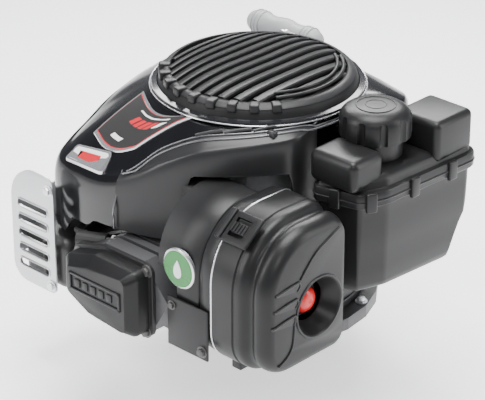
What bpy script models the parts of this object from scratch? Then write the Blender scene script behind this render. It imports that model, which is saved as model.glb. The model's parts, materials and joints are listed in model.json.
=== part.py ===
"""Small vertical-shaft overhead-valve petrol engine, as separate pieces.

The crankshaft turns about Z. The mounting flange lies in the plane z = 0, the
cylinder points along -Y, the muffler is on the -X side and the air cleaner and
fuel tank are on the +X side. Lengths below are in millimetres, and the helper
functions scale them to metres.
"""
from math import acos, atan2, cos, degrees, pi, radians, sin, sqrt, tan

import bmesh
import bpy
from mathutils import Matrix, Vector

MM = 0.001
GAP = 0.3                       # clearance between pieces that touch

# Driving dimensions, in millimetres
BORE_R = 31.75                  # cylinder bore radius
CRANK_THROW = 22.225            # half of the 44.45 stroke
ROD_LENGTH = 88.0
CYLINDER_Z = 69.0               # height of the cylinder axis above the flange
DECK_Y = -127.0                 # cylinder deck, where the head bolts on
HEAD_FACE_Y = -168.0
COVER_FACE_Y = -195.0           # flat front of the rocker cover
FLANGE_R = 112.0                # mounting flange
BOLT_CIRCLE_R = 101.6
PTO_R = 11.1                    # power take-off shaft
PTO_LENGTH = 62.0
JOURNAL_R = 12.5
CAM_X = -50.0                   # camshaft beside the crankshaft
PUSHROD_X = -47.0
CRANK_TEETH = 12
CAM_TEETH = 2 * CRANK_TEETH
VALVES = {                      # x and z of the stem, head radius, rocker pivot x
    "intake": (12.0, 75.0, 12.0, -17.5),
    "exhaust": (-13.0, 62.0, 11.0, -30.0),
}
STARTER_R = 85.0                # round starter cover
STARTER_TOP = 236.0
PULLEY_R = 50.0
ROPE_Z = 214.0
FILTER_FRONT_Y = -168.0
FILTER_REAR_Y = -70.0
FILTER_TOP = 168.0
FILTER_BOTTOM = 33.0
DUCT_END_X = 90.0
BASE_END_X = 106.0
COVER_END_X = 167.0
PRIMER = (-102.0, 87.0)         # y and z of the primer bulb's axis
FILLER = (128.0, 11.0)          # x and y of the fuel filler
CAP_R = 31.5
TANK_SPLIT = 160.0              # height of the seam between the tank halves
THROTTLE_X = 74.0

for old in list(bpy.data.objects):
    bpy.data.objects.remove(old, do_unlink=True)

engine = bpy.data.collections.new("small_petrol_engine")
cutters = bpy.data.collections.new("cutters")
bpy.context.scene.collection.children.link(engine)
bpy.context.scene.collection.children.link(cutters)


# ---------------------------------------------------------------- materials

def material(name, colour, roughness, metallic=0.0):
    made = bpy.data.materials.new(name)
    made.use_nodes = True
    shader = made.node_tree.nodes["Principled BSDF"]
    shader.inputs["Base Color"].default_value = (*colour, 1.0)
    shader.inputs["Roughness"].default_value = roughness
    shader.inputs["Metallic"].default_value = metallic
    return made


GLOSS_BLACK = material("gloss_black_plastic", (0.012, 0.012, 0.014), 0.18)
SATIN_BLACK = material("satin_black_plastic", (0.030, 0.030, 0.032), 0.42)
CAST_ALUMINIUM = material("cast_aluminium", (0.50, 0.51, 0.52), 0.45, 0.9)
STEEL = material("machined_steel", (0.55, 0.55, 0.57), 0.28, 1.0)
BLACK_STEEL = material("black_painted_steel", (0.025, 0.025, 0.027), 0.40)
ZINC = material("zinc_plated_steel", (0.72, 0.73, 0.74), 0.30, 0.9)
GASKET = material("gasket_fibre", (0.20, 0.19, 0.17), 0.85)
FOAM = material("filter_paper", (0.80, 0.74, 0.58), 0.90)
RED_RUBBER = material("red_rubber", (0.70, 0.015, 0.012), 0.35)
BLACK_RUBBER = material("black_rubber", (0.02, 0.02, 0.02), 0.65)
GREEN_STEEL = material("green_clamp", (0.03, 0.25, 0.08), 0.35, 0.3)
CERAMIC = material("white_ceramic", (0.85, 0.85, 0.82), 0.20)
ROPE = material("braided_rope", (0.60, 0.60, 0.58), 0.80)
GREY_PLASTIC = material("light_grey_plastic", (0.62, 0.63, 0.64), 0.45)
TRIM = material("silver_trim", (0.60, 0.60, 0.62), 0.25, 0.8)


# ------------------------------------------------------------------ helpers

def keep(obj, name, finish=None, parent=None):
    """Names an object, files it in the engine's collection and gives it a finish."""
    obj.name = name
    obj.data.name = name
    for collection in list(obj.users_collection):
        collection.objects.unlink(obj)
    engine.objects.link(obj)
    if finish:
        obj.data.materials.clear()
        obj.data.materials.append(finish)
    if parent:
        obj.parent = parent
        obj.matrix_parent_inverse = parent.matrix_world.inverted()
    return obj


def pivot(name, at):
    """An empty on a joint's axis, for the pieces that move with it."""
    empty = bpy.data.objects.new(name, None)
    empty.location = Vector(at) * MM
    engine.objects.link(empty)
    bpy.context.view_layer.update()
    return empty


def box(low, high, bevel=0.0, segments=1):
    """A block between two corners, with its edges rounded."""
    low, high = Vector(low), Vector(high)
    bpy.ops.mesh.primitive_cube_add(size=MM, location=(low + high) / 2 * MM)
    obj = bpy.context.object
    obj.scale = high - low
    bpy.ops.object.transform_apply(location=False, rotation=False, scale=True)
    if bevel:
        soften(obj, bevel, segments)
    return obj


def soften(obj, width, segments=2, angle=40.0):
    rounding = obj.modifiers.new("rounding", "BEVEL")
    rounding.width = width * MM
    rounding.segments = segments
    rounding.limit_method = "ANGLE"
    rounding.angle_limit = radians(angle)
    return obj


def cylinder(start, end, radius, sides=18, end_radius=None):
    """A cylinder, or a cone, from one point to another."""
    start, end = Vector(start) * MM, Vector(end) * MM
    turn = (end - start).to_track_quat("Z", "Y").to_euler()
    bpy.ops.mesh.primitive_cone_add(
        vertices=sides, radius1=radius * MM,
        radius2=(radius if end_radius is None else end_radius) * MM,
        depth=(end - start).length, location=(start + end) / 2, rotation=turn)
    return bpy.context.object


def mesh_object(builder, name="shape"):
    mesh = bpy.data.meshes.new(name)
    builder.to_mesh(mesh)
    builder.free()
    obj = bpy.data.objects.new(name, mesh)
    engine.objects.link(obj)
    bpy.context.view_layer.update()
    return obj


def turned(profile, at=(0, 0, 0), axis="Z", steps=20, closed=False):
    """A profile of (radius, height) turned about an axis; it runs down its outer side."""
    builder = bmesh.new()
    points = [builder.verts.new((r * MM, 0, h * MM)) for r, h in profile]
    for first, second in zip(points, points[1:]):
        builder.edges.new((first, second))
    if closed:
        builder.edges.new((points[-1], points[0]))
    obj = mesh_object(builder, "turned")
    spin = obj.modifiers.new("turn", "SCREW")
    spin.angle = 2 * pi
    spin.steps = spin.render_steps = steps
    spin.use_merge_vertices = True
    spin.merge_threshold = 0.00001
    obj.location = Vector(at) * MM
    if axis == "X":
        obj.rotation_euler = (0, pi / 2, 0)
    if axis == "Y":
        obj.rotation_euler = (pi / 2, 0, 0)
    return solid(obj)


def solid(obj):
    """Turns a curve, or an object with modifiers, into a plain closed mesh."""
    bpy.context.view_layer.update()
    evaluated = obj.evaluated_get(bpy.context.evaluated_depsgraph_get())
    mesh = bpy.data.meshes.new_from_object(evaluated)
    builder = bmesh.new()
    builder.from_mesh(mesh)
    bmesh.ops.remove_doubles(builder, verts=builder.verts, dist=0.000001)
    bmesh.ops.recalc_face_normals(builder, faces=builder.faces)
    builder.to_mesh(mesh)
    builder.free()
    made = bpy.data.objects.new("solid", mesh)
    made.matrix_world = obj.matrix_world.copy()
    engine.objects.link(made)
    bpy.data.objects.remove(obj, do_unlink=True)
    bpy.context.view_layer.update()
    return made


TO_FRONT = Matrix(((1, 0, 0, 0), (0, 0, -1, 0), (0, 1, 0, 0), (0, 0, 0, 1)))
TO_SIDE = Matrix(((0, 0, 1, 0), (1, 0, 0, 0), (0, 1, 0, 0), (0, 0, 0, 1)))


def plate(outline, low, high, axis="Z"):
    """A flat outline with thickness: (x, y) along Z, (x, z) along Y or (y, z) along X."""
    curve = bpy.data.curves.new("plate", "CURVE")
    curve.dimensions = "2D"
    curve.fill_mode = "BOTH"
    curve.extrude = abs(high - low) / 2 * MM
    spline = curve.splines.new("POLY")
    spline.points.add(len(outline) - 1)
    for point, (u, v) in zip(spline.points, outline):
        point.co = (u * MM, v * MM, 0, 1)
    spline.use_cyclic_u = True
    obj = bpy.data.objects.new("plate", curve)
    engine.objects.link(obj)
    middle = (low + high) / 2 * MM
    if axis == "Z":
        obj.matrix_world = Matrix.Translation((0, 0, middle))
    if axis == "Y":
        obj.matrix_world = Matrix.Translation((0, middle, 0)) @ TO_FRONT
    if axis == "X":
        obj.matrix_world = Matrix.Translation((middle, 0, 0)) @ TO_SIDE
    return solid(obj)


def tube(points, radius, sides=8, smooth=True):
    """A round bar or hose along a smooth line through its points."""
    route = [Vector(p) for p in points]
    if smooth:
        route = smooth_line(route)
    curve = bpy.data.curves.new("tube", "CURVE")
    curve.dimensions = "3D"
    curve.bevel_depth = radius * MM
    curve.bevel_resolution = sides // 2 - 2
    curve.use_fill_caps = True
    spline = curve.splines.new("POLY")
    spline.points.add(len(route) - 1)
    for point, place in zip(spline.points, route):
        point.co = (*(place * MM), 1)
    obj = bpy.data.objects.new("tube", curve)
    engine.objects.link(obj)
    return solid(obj)


def smooth_line(points, pieces=3):
    """Points along a Catmull-Rom curve through the given ones."""
    padded = [2 * points[0] - points[1]] + points + [2 * points[-1] - points[-2]]
    line = []
    for a, b, c, d in zip(padded, padded[1:], padded[2:], padded[3:]):
        for step in range(pieces):
            t = step / pieces
            line.append((2 * b + (c - a) * t + (2 * a - 5 * b + 4 * c - d) * t * t
                         + (3 * b - 3 * c + d - a) * t ** 3) / 2)
    return line + [points[-1]]


def rounded(corners, arc=2):
    """An outline from (u, v, radius) corners, each with an arc of its radius."""
    outline = []
    count = len(corners)
    for index, (u, v, radius) in enumerate(corners):
        here = Vector((u, v))
        back = (Vector(corners[index - 1][:2]) - here).normalized()
        ahead = (Vector(corners[(index + 1) % count][:2]) - here).normalized()
        if radius <= 0:
            outline.append((u, v))
            continue
        half = acos(max(-1.0, min(1.0, back.dot(ahead)))) / 2
        middle = here + (back + ahead).normalized() * radius / sin(half)
        first = here + back * radius / tan(half) - middle
        last = here + ahead * radius / tan(half) - middle
        turn = (atan2(last.y, last.x) - atan2(first.y, first.x) + pi) % (2 * pi) - pi
        for step in range(arc + 1):
            angle = atan2(first.y, first.x) + turn * step / arc
            outline.append((middle.x + radius * cos(angle), middle.y + radius * sin(angle)))
    return outline


def circle(u, v, radius, sides=16, start=0.0, sweep=2 * pi):
    steps = sides if sweep >= 2 * pi else sides + 1
    return [(u + radius * cos(start + sweep * k / sides), v + radius * sin(start + sweep * k / sides))
            for k in range(steps)]


def loft(sections, cap_first=False, cap_last=False):
    """A skin over sections with equal numbers of points, capped where asked."""
    builder = bmesh.new()
    rings = [[builder.verts.new(Vector(p) * MM) for p in section] for section in sections]
    for lower, upper in zip(rings, rings[1:]):
        for k in range(len(lower)):
            n = (k + 1) % len(lower)
            builder.faces.new((lower[k], lower[n], upper[n], upper[k]))
    if cap_first:
        builder.faces.new(list(reversed(rings[0])))
    if cap_last:
        builder.faces.new(rings[-1])
    bmesh.ops.recalc_face_normals(builder, faces=builder.faces)
    return mesh_object(builder, "loft")


def shell(obj, thickness, offset=-1.0):
    """Gives an open skin its wall thickness."""
    wall = obj.modifiers.new("wall", "SOLIDIFY")
    wall.thickness = thickness * MM
    wall.offset = offset
    wall.use_even_offset = True
    return solid(obj)


def combine(target, others, operation):
    for other in others:
        step = target.modifiers.new(operation.lower(), "BOOLEAN")
        step.operation = operation
        step.solver = "EXACT"
        step.object = other
        other.hide_render = True
        other.display_type = "WIRE"
        for collection in list(other.users_collection):
            collection.objects.unlink(other)
        cutters.objects.link(other)
    return target


def join(target, *others):
    return combine(target, others, "UNION")


def cut(target, *others):
    return combine(target, others, "DIFFERENCE")


def gear(teeth, pitch_radius, low, high, at=(0.0, 0.0), phase=0.0, backlash=0.16):
    """A spur gear with straight-sided teeth, thinned by the backlash."""
    module = 2 * pitch_radius / teeth
    tip, root = pitch_radius + 0.85 * module, pitch_radius - 1.15 * module
    width = pi / teeth * (1 - backlash)
    outline = []
    for tooth in range(teeth):
        middle = phase + 2 * pi * tooth / teeth
        for radius, angle in ((root, -0.80), (tip, -0.22), (tip, 0.22), (root, 0.80)):
            spread = middle + angle * width
            outline.append((at[0] + radius * cos(spread), at[1] + radius * sin(spread)))
    return plate(outline, low, high)


# -------------------------------------------------------- crankcase and head

HEAD_OUTLINE = [(53, 70), (24, 102), (-24, 102), (-60, 86), (-60, 54), (-34, 36), (33, 36)]
PUSHROD_HOLES = [(PUSHROD_X, VALVES[side][1]) for side in VALVES]


def pushrod_tunnels(start, end, radius=4.5):
    return [cylinder((x, start, z), (x, end, z), radius, 12) for x, z in PUSHROD_HOLES]


def build_castings():
    sump = turned([(13, 29), (22, 29), (24, 8), (88, 8), (90, 30), (97, 30), (98, 12),
                   (FLANGE_R, 12), (FLANGE_R, 0), (13, 0)], steps=24, closed=True)
    for angle in (60, 180, 300):
        x, y = BOLT_CIRCLE_R * cos(radians(angle)), BOLT_CIRCLE_R * sin(radians(angle))
        cut(sump, cylinder((x, y, -1), (x, y, 13), 4.2, 12))
    keep(sump, "oil_sump_flange", CAST_ALUMINIUM)
    keep(turned([(90, 31.1), (97, 31.1), (97, 30.3), (90, 30.3)], steps=24, closed=True),
         "sump_gasket", GASKET)

    case = cylinder((0, 0, 31.4), (0, 0, 47), 97, 24)
    join(case, cylinder((0, 0, 40), (0, 0, 126), 60, 24),
         cylinder((CAM_X, 0, 40), (CAM_X, 0, 108), 20, 14),
         cylinder((0, -40, CYLINDER_Z), (0, DECK_Y, CYLINDER_Z), 37, 24),
         box((-55, DECK_Y, 52), (-36, -30, 86)))
    for fin in range(4):
        y = -70 - 15 * fin
        join(case, box((-50, y - 1.2, 33), (46, y + 1.2, 106)))
    cut(case, cylinder((0, 0, 30), (0, 0, 43.5), 62, 24), cylinder((CAM_X, 0, 30), (CAM_X, 0, 43.5), 37.5, 24),
        cylinder((0, 0, 40), (0, 0, 112), 54, 24),
        cylinder((CAM_X, 0, 40), (CAM_X, 0, 102), 15, 14),
        cylinder((0, -30, CYLINDER_Z), (0, -130, CYLINDER_Z), BORE_R, 24),
        cylinder((0, 0, 110), (0, 0, 130), 13, 24), *pushrod_tunnels(-15, -130))
    keep(case, "crankcase_cylinder", CAST_ALUMINIUM)

    gasket = plate(HEAD_OUTLINE, DECK_Y - 1.1, DECK_Y - 0.3, "Y")
    cut(gasket, cylinder((0, -120, CYLINDER_Z), (0, -135, CYLINDER_Z), 32.5, 24),
        *pushrod_tunnels(-120, -135))
    keep(gasket, "head_gasket", GASKET)

    head = plate(HEAD_OUTLINE, DECK_Y - 1.4, HEAD_FACE_Y, "Y")
    cut(head, cylinder((0, -120, CYLINDER_Z), (0, -133, CYLINDER_Z), 26.5, 24),
        *pushrod_tunnels(-120, -170))
    for side, (x, z, radius, _) in VALVES.items():
        out = 60 if side == "intake" else -70
        port_z = 69 if side == "intake" else 58
        cut(head, cylinder((x, -132, z), (x, -137, z), radius + 0.5, 14),
            cylinder((x, -136, z), (x, -149, z), 7, 14), cylinder((x, -130, z), (x, -170, z), 3.2, 14),
            cylinder((x, -158, z), (x, -170, z), 9, 16),
            cylinder((x, -145, port_z + (3 if side == "intake" else 2)), (out, -145, port_z), 6.5, 14))
    cut(head, cylinder(PLUG_START, PLUG_END, 5.6, 14), cylinder(PLUG_SEAT, PLUG_END, 10, 16))
    for groove in range(2):
        y = -138 - 12 * groove
        cut(head, box((-62, y - 2, 96), (60, y + 2, 110)))
    keep(head, "cylinder_head", CAST_ALUMINIUM)

    base = [(34, 36, 8), (34, 99, 8), (-20, 99, 8), (-57, 88, 8), (-57, 52, 8), (-20, 36, 8)]
    face = [(27, 41, 6), (27, 94, 6), (-20, 90, 6), (-47, 83, 6), (-47, 58, 6), (-20, 45, 6)]
    rim = [(38, 32, 9), (38, 103, 9), (-20, 103, 9), (-61, 91, 9), (-61, 49, 9), (-20, 32, 9)]
    sections = [[(x, y, z) for x, z in rounded(shape)] for shape, y in (
        (rim, HEAD_FACE_Y - GAP), (rim, HEAD_FACE_Y - 4), (base, HEAD_FACE_Y - 4.6),
        (base, HEAD_FACE_Y - 17), (face, COVER_FACE_Y))]
    keep(shell(loft(sections, cap_last=True), 2.0), "rocker_cover", SATIN_BLACK)


# Spark plug: a slanted line from the combustion chamber out to the left front
PLUG_START = Vector((-10, -131, 88))
PLUG_END = Vector((-76, -162, 88))
PLUG_LINE = (PLUG_END - PLUG_START).normalized()
PLUG_SEAT = PLUG_START + PLUG_LINE * 24


def build_ignition():
    plug = cylinder(PLUG_START + PLUG_LINE * 3, PLUG_START + PLUG_LINE * 24.5, 5, 14)
    join(plug, cylinder(PLUG_START + PLUG_LINE * 24.3, PLUG_START + PLUG_LINE * 33, 8, 6),
         cylinder(PLUG_START + PLUG_LINE * 32, PLUG_START + PLUG_LINE * 50, 4.5, 14, 3.5),
         cylinder(PLUG_START + PLUG_LINE * 49, PLUG_START + PLUG_LINE * 56, 2.5, 10))
    keep(plug, "spark_plug", CERAMIC)
    boot = cylinder(PLUG_START + PLUG_LINE * 38, PLUG_START + PLUG_LINE * 66, 8, 16, 7)
    cut(boot, cylinder(PLUG_START + PLUG_LINE * 36, PLUG_START + PLUG_LINE * 58, 5.2, 14))
    keep(boot, "spark_plug_boot", BLACK_RUBBER)
    lead_start = PLUG_START + PLUG_LINE * 61 + Vector((-3.4, 7.6, 0)) * 1.3
    lead = tube([lead_start, (-83, -148, 87), (-86, -134, 88), (-94, -112, 98),
                 (-98, -50, 128), (-95, -18.5, 140)], 2.8, 8)
    keep(lead, "spark_plug_lead", BLACK_RUBBER)
    coil = box((-106, -16, 133), (-82, 16, 152), 3)
    join(coil, box((-100, -6, 108), (-90, 6, 135)), box((-100, -6, 108.4), (-60.6, 6, 114)))
    keep(coil, "ignition_coil", BLACK_STEEL)


# ------------------------------------------------------------ moving insides

def build_crankshaft():
    axis = pivot("crankshaft_axis", (0, 0, 0))
    web = [(-17, -CRANK_THROW), (-14, -33), (0, -38), (14, -33), (17, -CRANK_THROW)] + \
        circle(0, 0, 37, 16, 0, pi)
    lower = turned([(0, 46), (JOURNAL_R, 46), (JOURNAL_R, 1), (PTO_R, 0), (PTO_R, 1.5 - PTO_LENGTH),
                    (PTO_R - 1.5, -PTO_LENGTH), (0, -PTO_LENGTH)], steps=20)
    join(lower, plate(web, 45, 57))
    cut(lower, cylinder((0, 0, -PTO_LENGTH - 1), (0, 0, -PTO_LENGTH + 25), 4.2, 12),
        box((PTO_R - 2.5, -2.4, -PTO_LENGTH - 1), (PTO_R + 2, 2.4, -PTO_LENGTH + 40)))
    keep(lower, "crankshaft_output_half", STEEL, axis)
    upper = turned([(0, 184), (7, 184), (7, 166), (10, 165), (JOURNAL_R, 128), (JOURNAL_R, 90), (0, 90)],
                   steps=20)
    join(upper, plate(web, 81, 93))
    keep(upper, "crankshaft_flywheel_half", STEEL, axis)
    pitch = -CAM_X / 3
    pinion = gear(CRANK_TEETH, pitch, 32, 42, phase=pi)
    keep(cut(pinion, cylinder((0, 0, 30), (0, 0, 44), JOURNAL_R + GAP, 24)), "crankshaft_gear", STEEL, axis)
    wheel = turned([(14, 150), (62, 146), (66, 156), (78, 156), (78, 130), (60, 130), (54, 138), (14, 134)],
                   steps=20, closed=True)
    keep(wheel, "flywheel", CAST_ALUMINIUM, axis)
    fan = turned([(62, 161), (78, 161), (78, 158), (62, 158)], steps=20, closed=True)
    for blade in range(8):
        turn = 2 * pi * blade / 8
        vane = box((60, -1.2, 159), (78, 1.2, 182))
        vane.matrix_world = Matrix.Rotation(turn, 4, "Z") @ vane.matrix_world
        join(fan, vane)
    keep(fan, "cooling_fan", SATIN_BLACK, axis)
    cup = turned([(14, 160), (50, 160), (50, 190), (47, 190), (47, 163), (14, 163)],
                 steps=20, closed=True)
    keep(cup, "starter_cup", ZINC, axis)
    nut = cylinder((0, 0, 167), (0, 0, 177), 13, 6)
    keep(cut(nut, cylinder((0, 0, 160), (0, 0, 180), 7.6, 24)), "flywheel_nut", ZINC, axis)

    cam_axis = pivot("camshaft_axis", (CAM_X, 0, 0))
    shaft = cylinder((CAM_X, 0, 32), (CAM_X, 0, 100), 5.5, 16)
    join(shaft, gear(CAM_TEETH, 2 * pitch, 32, 42, (CAM_X, 0.0), pi / CAM_TEETH))
    for side, angle in (("intake", 60), ("exhaust", 115)):
        z = VALVES[side][1]
        lobe = [(CAM_X + 6.5 * cos(a), 6.5 * sin(a))
                for a in (radians(angle + 90 + 15 * k) for k in range(13))]
        nose = (CAM_X + 7.5 * cos(radians(angle)), 7.5 * sin(radians(angle)))
        lobe += [(nose[0] + 3.5 * cos(a), nose[1] + 3.5 * sin(a))
                 for a in (radians(angle - 70 + 28 * k) for k in range(6))]
        join(shaft, plate(lobe, z - 5, z + 5))
    keep(shaft, "camshaft_and_gear", STEEL, cam_axis)


def build_piston():
    wrist_y = -CRANK_THROW - ROD_LENGTH
    piston_axis = pivot("piston_axis", (0, wrist_y, CYLINDER_Z))
    piston = cylinder((0, wrist_y + 17, CYLINDER_Z), (0, wrist_y - 15.5, CYLINDER_Z), BORE_R - 0.4, 24)
    cut(piston, cylinder((0, wrist_y + 18, CYLINDER_Z), (0, wrist_y - 12.6, CYLINDER_Z), 26, 24),
        cylinder((0, wrist_y, 30), (0, wrist_y, 110), 8.3, 14))
    keep(piston, "piston", CAST_ALUMINIUM, piston_axis)
    keep(cylinder((0, wrist_y, 41), (0, wrist_y, 97), 7.8, 14), "wrist_pin", STEEL, piston_axis)
    rod_axis = pivot("wrist_pin_axis", (0, wrist_y, CYLINDER_Z))
    rod = cylinder((0, wrist_y, 61), (0, wrist_y, 77), 12, 24)
    join(rod, box((-5, wrist_y + 8, 64), (5, -CRANK_THROW - 10, 74)),
         cylinder((0, -CRANK_THROW, 58), (0, -CRANK_THROW, 80), 15.8, 24))
    cut(rod, cylinder((0, wrist_y, 50), (0, wrist_y, 90), 8.3, 14),
        cylinder((0, -CRANK_THROW, 50), (0, -CRANK_THROW, 90), 12.3, 24))
    keep(rod, "connecting_rod", CAST_ALUMINIUM, rod_axis)
    keep(cylinder((0, -CRANK_THROW, 57.4), (0, -CRANK_THROW, 80.6), 11.8, 24), "crankpin", STEEL, rod_axis)


def coil_points(x, z, start, end, radius, turns, steps=8):
    count = turns * steps
    return [(x + radius * cos(2 * pi * k / steps), start + (end - start) * k / count,
             z + radius * sin(2 * pi * k / steps)) for k in range(count + 1)]


def build_valves():
    bridge = box((-38, -170.3, 50), (-23.5, HEAD_FACE_Y - GAP, 88))
    join(bridge, box((-38, -170.3, 83), (-12, HEAD_FACE_Y - GAP, 88)),
         box((-33, -186, 51), (-27, -169, 56.5)), cylinder((-30, -181, 56), (-30, -181, 67), 2.8, 12),
         box((-20.5, -186, 80.5), (-14.5, -169, 86)), cylinder((-17.5, -181, 70), (-17.5, -181, 81), 2.8, 12))
    keep(bridge, "rocker_bridge", STEEL)
    for side, (x, z, radius, pivot_x) in VALVES.items():
        stem = pivot(side + "_valve_axis", (x, -150, z))
        valve = turned([(0, 177.7), (2.75, 177.7), (2.75, 176.6), (7.5, 176.6), (7.5, 174.8), (2.75, 174.8),
                        (2.75, 137.4), (radius, 135.5), (radius, 133.6), (0, 133.6)], at=(x, 0, z), axis="Y",
                       steps=18)
        keep(valve, side + "_valve", STEEL, stem)
        spring = tube(coil_points(x, z, -159.5, -173.4, 6.2, 3), 0.9, 4, smooth=False)
        keep(spring, side + "_valve_spring", STEEL)
        rocker_axis = pivot(side + "_rocker_axis", (pivot_x, -181, z))
        arm = box((PUSHROD_X - 3, -184.5, z - 3.2), (x + 3, -180, z + 3.2), 0.8, 1)
        join(arm, cylinder((pivot_x, -181, z - 3.6), (pivot_x, -181, z + 3.6), 5.2, 16),
             cylinder((PUSHROD_X, -181, z - 3), (PUSHROD_X, -181, z + 3), 2.9, 12),
             cylinder((x, -181, z - 3), (x, -181, z + 3), 2.9, 12))
        cut(arm, cylinder((pivot_x, -181, z - 6), (pivot_x, -181, z + 6), 3.2, 16))
        keep(arm, side + "_rocker_arm", STEEL, rocker_axis)
        rod_axis = pivot(side + "_pushrod_axis", (PUSHROD_X, -100, z))
        pushrod = cylinder((PUSHROD_X, -13, z), (PUSHROD_X, -16, z), 4.1, 12)
        join(pushrod, cylinder((PUSHROD_X, -15.5, z), (PUSHROD_X, -177.7, z), 2.8, 10))
        keep(pushrod, side + "_pushrod", STEEL, rod_axis)


# --------------------------------------------------------- blower and starter

HOUSING_PLAN = [(-180, 120), (-120, 120), (-90, 122), (-70, 134), (-55, 157), (-46, 176), (-40, 184),
                (-34, 179), (-28, 170), (-15, 155), (0, 140), (15, 128), (30, 118), (45, 113), (60, 110),
                (76, 96), (100, 95), (118, 112), (130, 133), (150, 133), (165, 122), (180, 120)]
HOUSING_RIM = [(-180, 98), (-95, 98), (-60, 82), (-33, 82), (-30, 99), (-24, 99), (-20, 107), (9, 107), (17, 171), (57, 171),
               (64, 100), (180, 98)]
HOUSING_EDGE = [(-180, 176), (-140, 176), (-110, 190), (-90, 190), (-65, 172), (-45, 138), (-30, 134), (-18, 136), (-6, 150),
                (4, 168), (20, 186), (60, 198), (100, 200), (125, 194), (150, 180), (180, 176)]


def between(table, angle):
    """A value read off a short list of (angle, value) pairs, smoothed between them."""
    for (a, low), (b, high) in zip(table, table[1:]):
        if a <= angle <= b:
            t = (angle - a) / (b - a)
            return low + (high - low) * t * t * (3 - 2 * t)
    return table[-1][1]


def housing_top(inward, edge):
    """Height of the bonnet, from its outer edge (inward 0) up to the starter ring (inward 1)."""
    return edge + (209 - edge) * inward ** 0.75 + 3 * (1 - inward)


def build_housing():
    sections = []
    steps = 40
    for index, inward in enumerate((0.0, 0.0, 0.0, 0.04, 0.12, 0.45, 0.8, 1.0)):
        section = []
        for k in range(steps):
            angle = -180 + 360 * k / steps
            outer, rim = between(HOUSING_PLAN, angle), between(HOUSING_RIM, angle)
            edge = between(HOUSING_EDGE, angle)
            radius = outer + (93 - outer) * inward
            wall = (rim, rim + (edge - 6 - rim) * 0.5, edge - 6, edge + 1)
            z = wall[index] if index < len(wall) else housing_top(inward, edge)
            section.append((radius * sin(radians(angle)), -radius * cos(radians(angle)), z))
        sections.append(section)
    sections.append([(85 / 93 * x, 85 / 93 * y, 209) for x, y, _ in sections[-1]])
    housing = shell(loft(sections), 2.4)
    keep(housing, "blower_housing", GLOSS_BLACK)


def build_starter():
    dome = turned([(0, STARTER_TOP), (35, STARTER_TOP - 0.5), (60, STARTER_TOP - 3), (76, STARTER_TOP - 9),
                   (STARTER_R, 222), (88, 212), (91, 211), (91, 209.4), (84, 209.4), (82.6, 221),
                   (74, STARTER_TOP - 11.5), (59, STARTER_TOP - 5.5), (35, STARTER_TOP - 3),
                   (8, STARTER_TOP - 2.6), (6, 222), (6, 195), (0, 195)], steps=24)
    for slot in range(4):
        for side in (-1, 1):
            y = -45 + 30 * slot
            reach = sqrt(max(0.0, 66 ** 2 - y ** 2))
            slit = box((12 if side > 0 else -reach, y - 3, 215), (reach if side > 0 else -12, y + 3, 240))
            cut(dome, slit)
    cut(dome, cylinder((-PULLEY_R, 55, ROPE_Z), (-PULLEY_R, 95, ROPE_Z), 3.4, 10))
    keep(dome, "starter_cover", SATIN_BLACK)
    eyelet = turned([(3.2, 4), (5.8, 4), (5.8, 2), (4.4, 1), (4.4, -3), (3.2, -3)], at=(-PULLEY_R, 88, ROPE_Z), axis="Y",
                    steps=16, closed=True)
    keep(eyelet, "rope_eyelet", ZINC)
    axis = pivot("pulley_axis", (0, 0, ROPE_Z))
    pulley = turned([(6.6, 5), (PULLEY_R + 3, 5), (PULLEY_R + 3, 4), (PULLEY_R - 2.5, 3), (PULLEY_R - 2.5, -3),
                     (PULLEY_R + 3, -4), (PULLEY_R + 3, -5), (6.6, -5)], at=(0, 0, ROPE_Z), steps=20, closed=True)
    keep(pulley, "rope_pulley", SATIN_BLACK, axis)
    turns, per_turn = 3, 10
    spiral = [((12 + 30 * k / (turns * per_turn)) * cos(2 * pi * k / per_turn),
               (12 + 30 * k / (turns * per_turn)) * sin(2 * pi * k / per_turn), ROPE_Z + 7)
              for k in range(turns * per_turn + 1)]
    keep(tube(spiral, 1.2, 4, smooth=False), "recoil_spring", STEEL, axis)
    grip_axis = pivot("grip_axis", (-PULLEY_R, 104, 208))
    grip = turned([(0, 46), (7, 45), (10.5, 40), (11.5, 32), (10, 20), (12, 8), (12, -8), (10, -20),
                   (11.5, -32), (10.5, -40), (7, -45), (0, -46)], at=(-72, 113, 204), axis="X", steps=20)
    keep(grip, "starter_grip", GREY_PLASTIC, grip_axis)
    rope = tube([(-PULLEY_R, 64, ROPE_Z), (-PULLEY_R, 93, ROPE_Z), (-PULLEY_R, 102.6, 208.6)], 2.2, 8, smooth=False)
    keep(rope, "starter_rope", ROPE)


def on_bonnet(x, y, lift):
    """A point a little above the bonnet's surface."""
    angle, radius = degrees(atan2(x, -y)), sqrt(x * x + y * y)
    outer = between(HOUSING_PLAN, angle)
    inward = max(0.12, min(1.0, (outer - radius) / (outer - 93)))
    return (x, y, housing_top(inward, between(HOUSING_EDGE, angle)) + lift)


def build_trim():
    """The badge panel: a curved plate that narrows towards the starter ring."""
    sections = []
    columns, rows = 8, 6
    for row in range(rows + 1):
        t = row / rows
        left, right = -86 + 26 * t, -4 + 2 * t
        top, bottom = [], []
        for column in range(columns + 1):
            u = column / columns
            x = left + (right - left) * u
            y = -128 + 30 * t - 8 * sin(pi * u) * (1 - t) - 8 * sin(pi * u) * t
            top.append(on_bonnet(x, y, 5.0))
            bottom.append(on_bonnet(x, y, 2.2))
        sections.append(top + bottom[::-1])
    keep(loft(sections, True, True), "badge_panel", TRIM)


# -------------------------------------------------------------- exhaust side

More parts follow.
